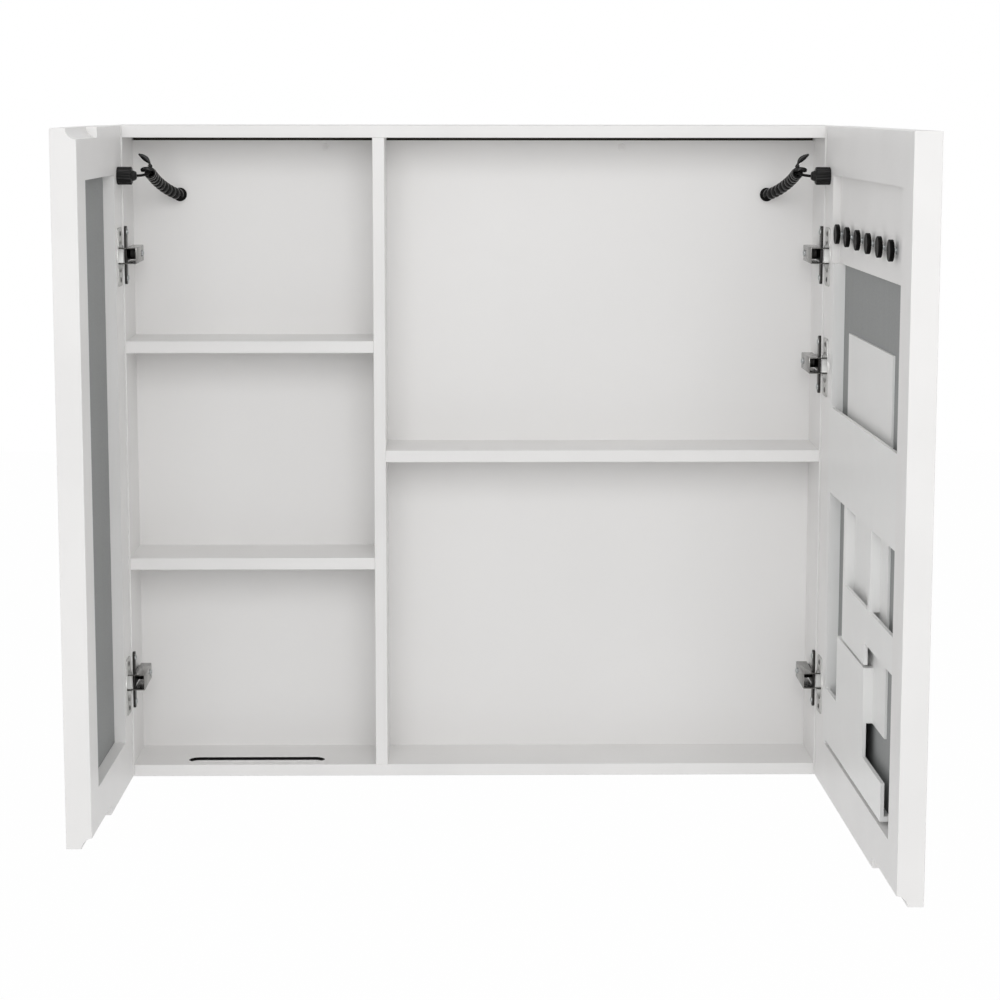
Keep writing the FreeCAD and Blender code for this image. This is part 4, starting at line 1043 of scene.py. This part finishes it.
def cross_recess_screws():
    """Tree that puts a pan head with a cross recess, and its shank, on every point."""
    tree, given = new_tree("cross_recess_screws", {
        "Head Radius": "Float", "Head Height": "Float", "Shank Radius": "Float", "Shank Length": "Float",
        "Recess Width": "Float", "Material": "Material"})
    radius, height = given.outputs["Head Radius"], given.outputs["Head Height"]
    # The head is the upper half of a flattened ball
    ball = add_node(tree, "GeometryNodeMeshUVSphere", {"Segments": 28, "Rings": 16, "Radius": radius})
    flat = add_node(tree, "ShaderNodeMath", {0: height, 1: radius}, operation="DIVIDE")
    dome = moved(tree, ball, Scale=vector(tree, X=1.0, Y=1.0, Z=flat.outputs[0]))
    wide = times(tree, radius, 4.0)
    block = add_node(tree, "GeometryNodeMeshCube", {"Size": vector(tree, X=wide, Y=wide, Z=wide)})
    under = moved(tree, block, Translation=vector(tree, Z=times(tree, radius, -2.0)))
    bar = add_node(tree, "GeometryNodeMeshCube", {"Size": vector(
        tree, X=times(tree, radius, RECESS_LENGTH), Y=given.outputs["Recess Width"],
        Z=times(tree, height, RECESS_DEPTH))})
    lift = vector(tree, Z=height)
    bars = [moved(tree, bar, Translation=lift, Rotation=(0, 0, turn)) for turn in (0, math.pi / 2)]
    head = add_node(tree, "GeometryNodeMeshBoolean", {"Mesh 1": dome}, operation="DIFFERENCE", solver="EXACT")
    for cutter in (under, *bars):
        tree.links.new(cutter, head.inputs["Mesh 2"])
    shank = add_node(tree, "GeometryNodeMeshCylinder", {
        "Vertices": 16, "Radius": given.outputs["Shank Radius"], "Depth": given.outputs["Shank Length"]})
    sunk = moved(tree, shank, Translation=vector(tree, Z=times(tree, given.outputs["Shank Length"], -0.5)))
    whole = add_node(tree, "GeometryNodeJoinGeometry")
    for part in (head.outputs["Mesh"], sunk):
        tree.links.new(part, whole.inputs[0])
    instances(tree, given, whole.outputs[0], 2 * math.pi)
    return tree


class CABINET_OT_screws(bpy.types.Operator):
    """Cross-recess screws of hinges and cleat"""
    bl_idname = "cabinet.screws"
    bl_label = "Screws"

    def execute(self, context):
        sizes = context.scene.cabinet_fittings
        tree = cross_recess_screws()
        hinge_screw = (sizes.screw_head_radius, sizes.screw_head, sizes.screw_shank_radius, HINGE_SHANK)
        # The cleat's two screws show inside the cabinet and have painted heads
        groups = [("cleat_screws", "cabinet", Vector((0, -1, 0)), CLEAT_SCREW, satin_white_lacquer())]
        for side in SIDES:
            inward = Vector((INWARD[side], 0, 0))
            groups += [
                # The cup screws take dark zinc as painted dark reflection
                (f"{side}_cup_screws", f"{side}_door", from_door(side), hinge_screw, dark_zinc_plate()),
                (f"{side}_arm_screws", "cabinet", inward, hinge_screw, zinc_plate()),
                (f"{side}_plate_screws", "cabinet", inward, hinge_screw, zinc_plate()),
            ]
        for node, body, way, (radius, head, shank, depth), finish in groups:
            points = points_mesh(node, seats_of(node, way, head), way)
            mesh = grown(f"{node}_recessed", points, tree, {
                "Head Radius": radius, "Head Height": head, "Shank Radius": shank, "Shank Length": depth,
                "Recess Width": sizes.recess_width, "Material": finish})
            fit(show(f"{node}_recessed", mesh, finish), body, "steel", node)
        return {"FINISHED"}


def turned_shape(name, profile, count=40):
    """Closed shape turned about the Z axis from (radius, height) points that start and end on the axis."""
    shell = bmesh.new()
    rim = [shell.verts.new((radius, 0, height)) for radius, height in profile]
    edges = [shell.edges.new(pair) for pair in zip(rim, rim[1:])]
    bmesh.ops.spin(shell, geom=rim + edges, cent=(0, 0, 0), axis=UP, angle=2 * math.pi, steps=count)
    bmesh.ops.remove_doubles(shell, verts=shell.verts, dist=MERGE_DISTANCE)
    bmesh.ops.recalc_face_normals(shell, faces=shell.faces)
    return finished(name, shell)


def row_of_shapes(shape):
    """Tree that puts one turned shape on every point."""
    tree, given = new_tree(f"row_of_{shape.name}", {"Material": "Material"})
    source = add_node(tree, "GeometryNodeObjectInfo", {"Object": shape})
    instances(tree, given, source.outputs["Geometry"], 0.0)
    return tree


class CABINET_OT_hooks(bpy.types.Operator):
    """Six hooks: flat black knobs on turned stems"""
    bl_idname = "cabinet.hooks"
    bl_label = "Hooks"

    def execute(self, context):
        way = from_door("right")
        rows = {"hook_knobs": (KNOB, KNOB_HEIGHT, black_powder_coat(), "black_knob"),
                "hook_stems": (STEM, STEM_HEIGHT, zinc_plate(), "steel")}
        for node, (profile, height, finish, slot) in rows.items():
            shape = bpy.data.objects.new(f"{node}_shape", turned_shape(f"{node}_shape", profile))
            context.scene.collection.objects.link(shape)
            points = points_mesh(node, seats_of(node, way, height), way)
            mesh = grown(f"{node}_turned", points, row_of_shapes(shape), {"Material": finish})
            bpy.data.objects.remove(shape)
            fit(show(f"{node}_turned", mesh, finish), "right_door", slot, node)
        return {"FINISHED"}


class CABINET_PT_panel(bpy.types.Panel):
    """Steps and settings of the medicine cabinet"""
    bl_idname = "CABINET_PT_panel"
    bl_label = "Medicine Cabinet"
    bl_space_type = "VIEW_3D"
    bl_region_type = "UI"
    bl_category = "Cabinet"

    def draw(self, context):
        for step in STEPS:
            self.layout.operator(step.bl_idname)
        for group in GROUPS:
            settings = getattr(context.scene, group)
            for name in settings.__annotations__:
                self.layout.prop(settings, name)


GROUPS = {"cabinet_colours": CabinetColours, "cabinet_cords": CabinetCords, "cabinet_fittings": CabinetFittings}
STEPS = (
    CABINET_OT_stage,
    CABINET_OT_door_leads,
    CABINET_OT_woodwork,
    CABINET_OT_mirrors,
    CABINET_OT_organizer,
    CABINET_OT_hinges,
    CABINET_OT_glands,
    CABINET_OT_screws,
    CABINET_OT_hooks,
)


def register():
    for group in (*GROUPS.values(), *STEPS, CABINET_PT_panel):
        bpy.utils.register_class(group)
    for name, group in GROUPS.items():
        setattr(bpy.types.Scene, name, bpy.props.PointerProperty(type=group))


def unregister():
    for name in GROUPS:
        delattr(bpy.types.Scene, name)
    for group in (CABINET_PT_panel, *reversed(STEPS), *GROUPS.values()):
        bpy.utils.unregister_class(group)


def main():
    register()
    bpy.ops.cabinet.stage()
    bpy.ops.cabinet.door_leads()
    bpy.ops.cabinet.woodwork()
    bpy.ops.cabinet.mirrors()
    bpy.ops.cabinet.organizer()
    bpy.ops.cabinet.hinges()
    bpy.ops.cabinet.glands()
    bpy.ops.cabinet.screws()
    bpy.ops.cabinet.hooks()


if __name__ == "__main__":
    main()
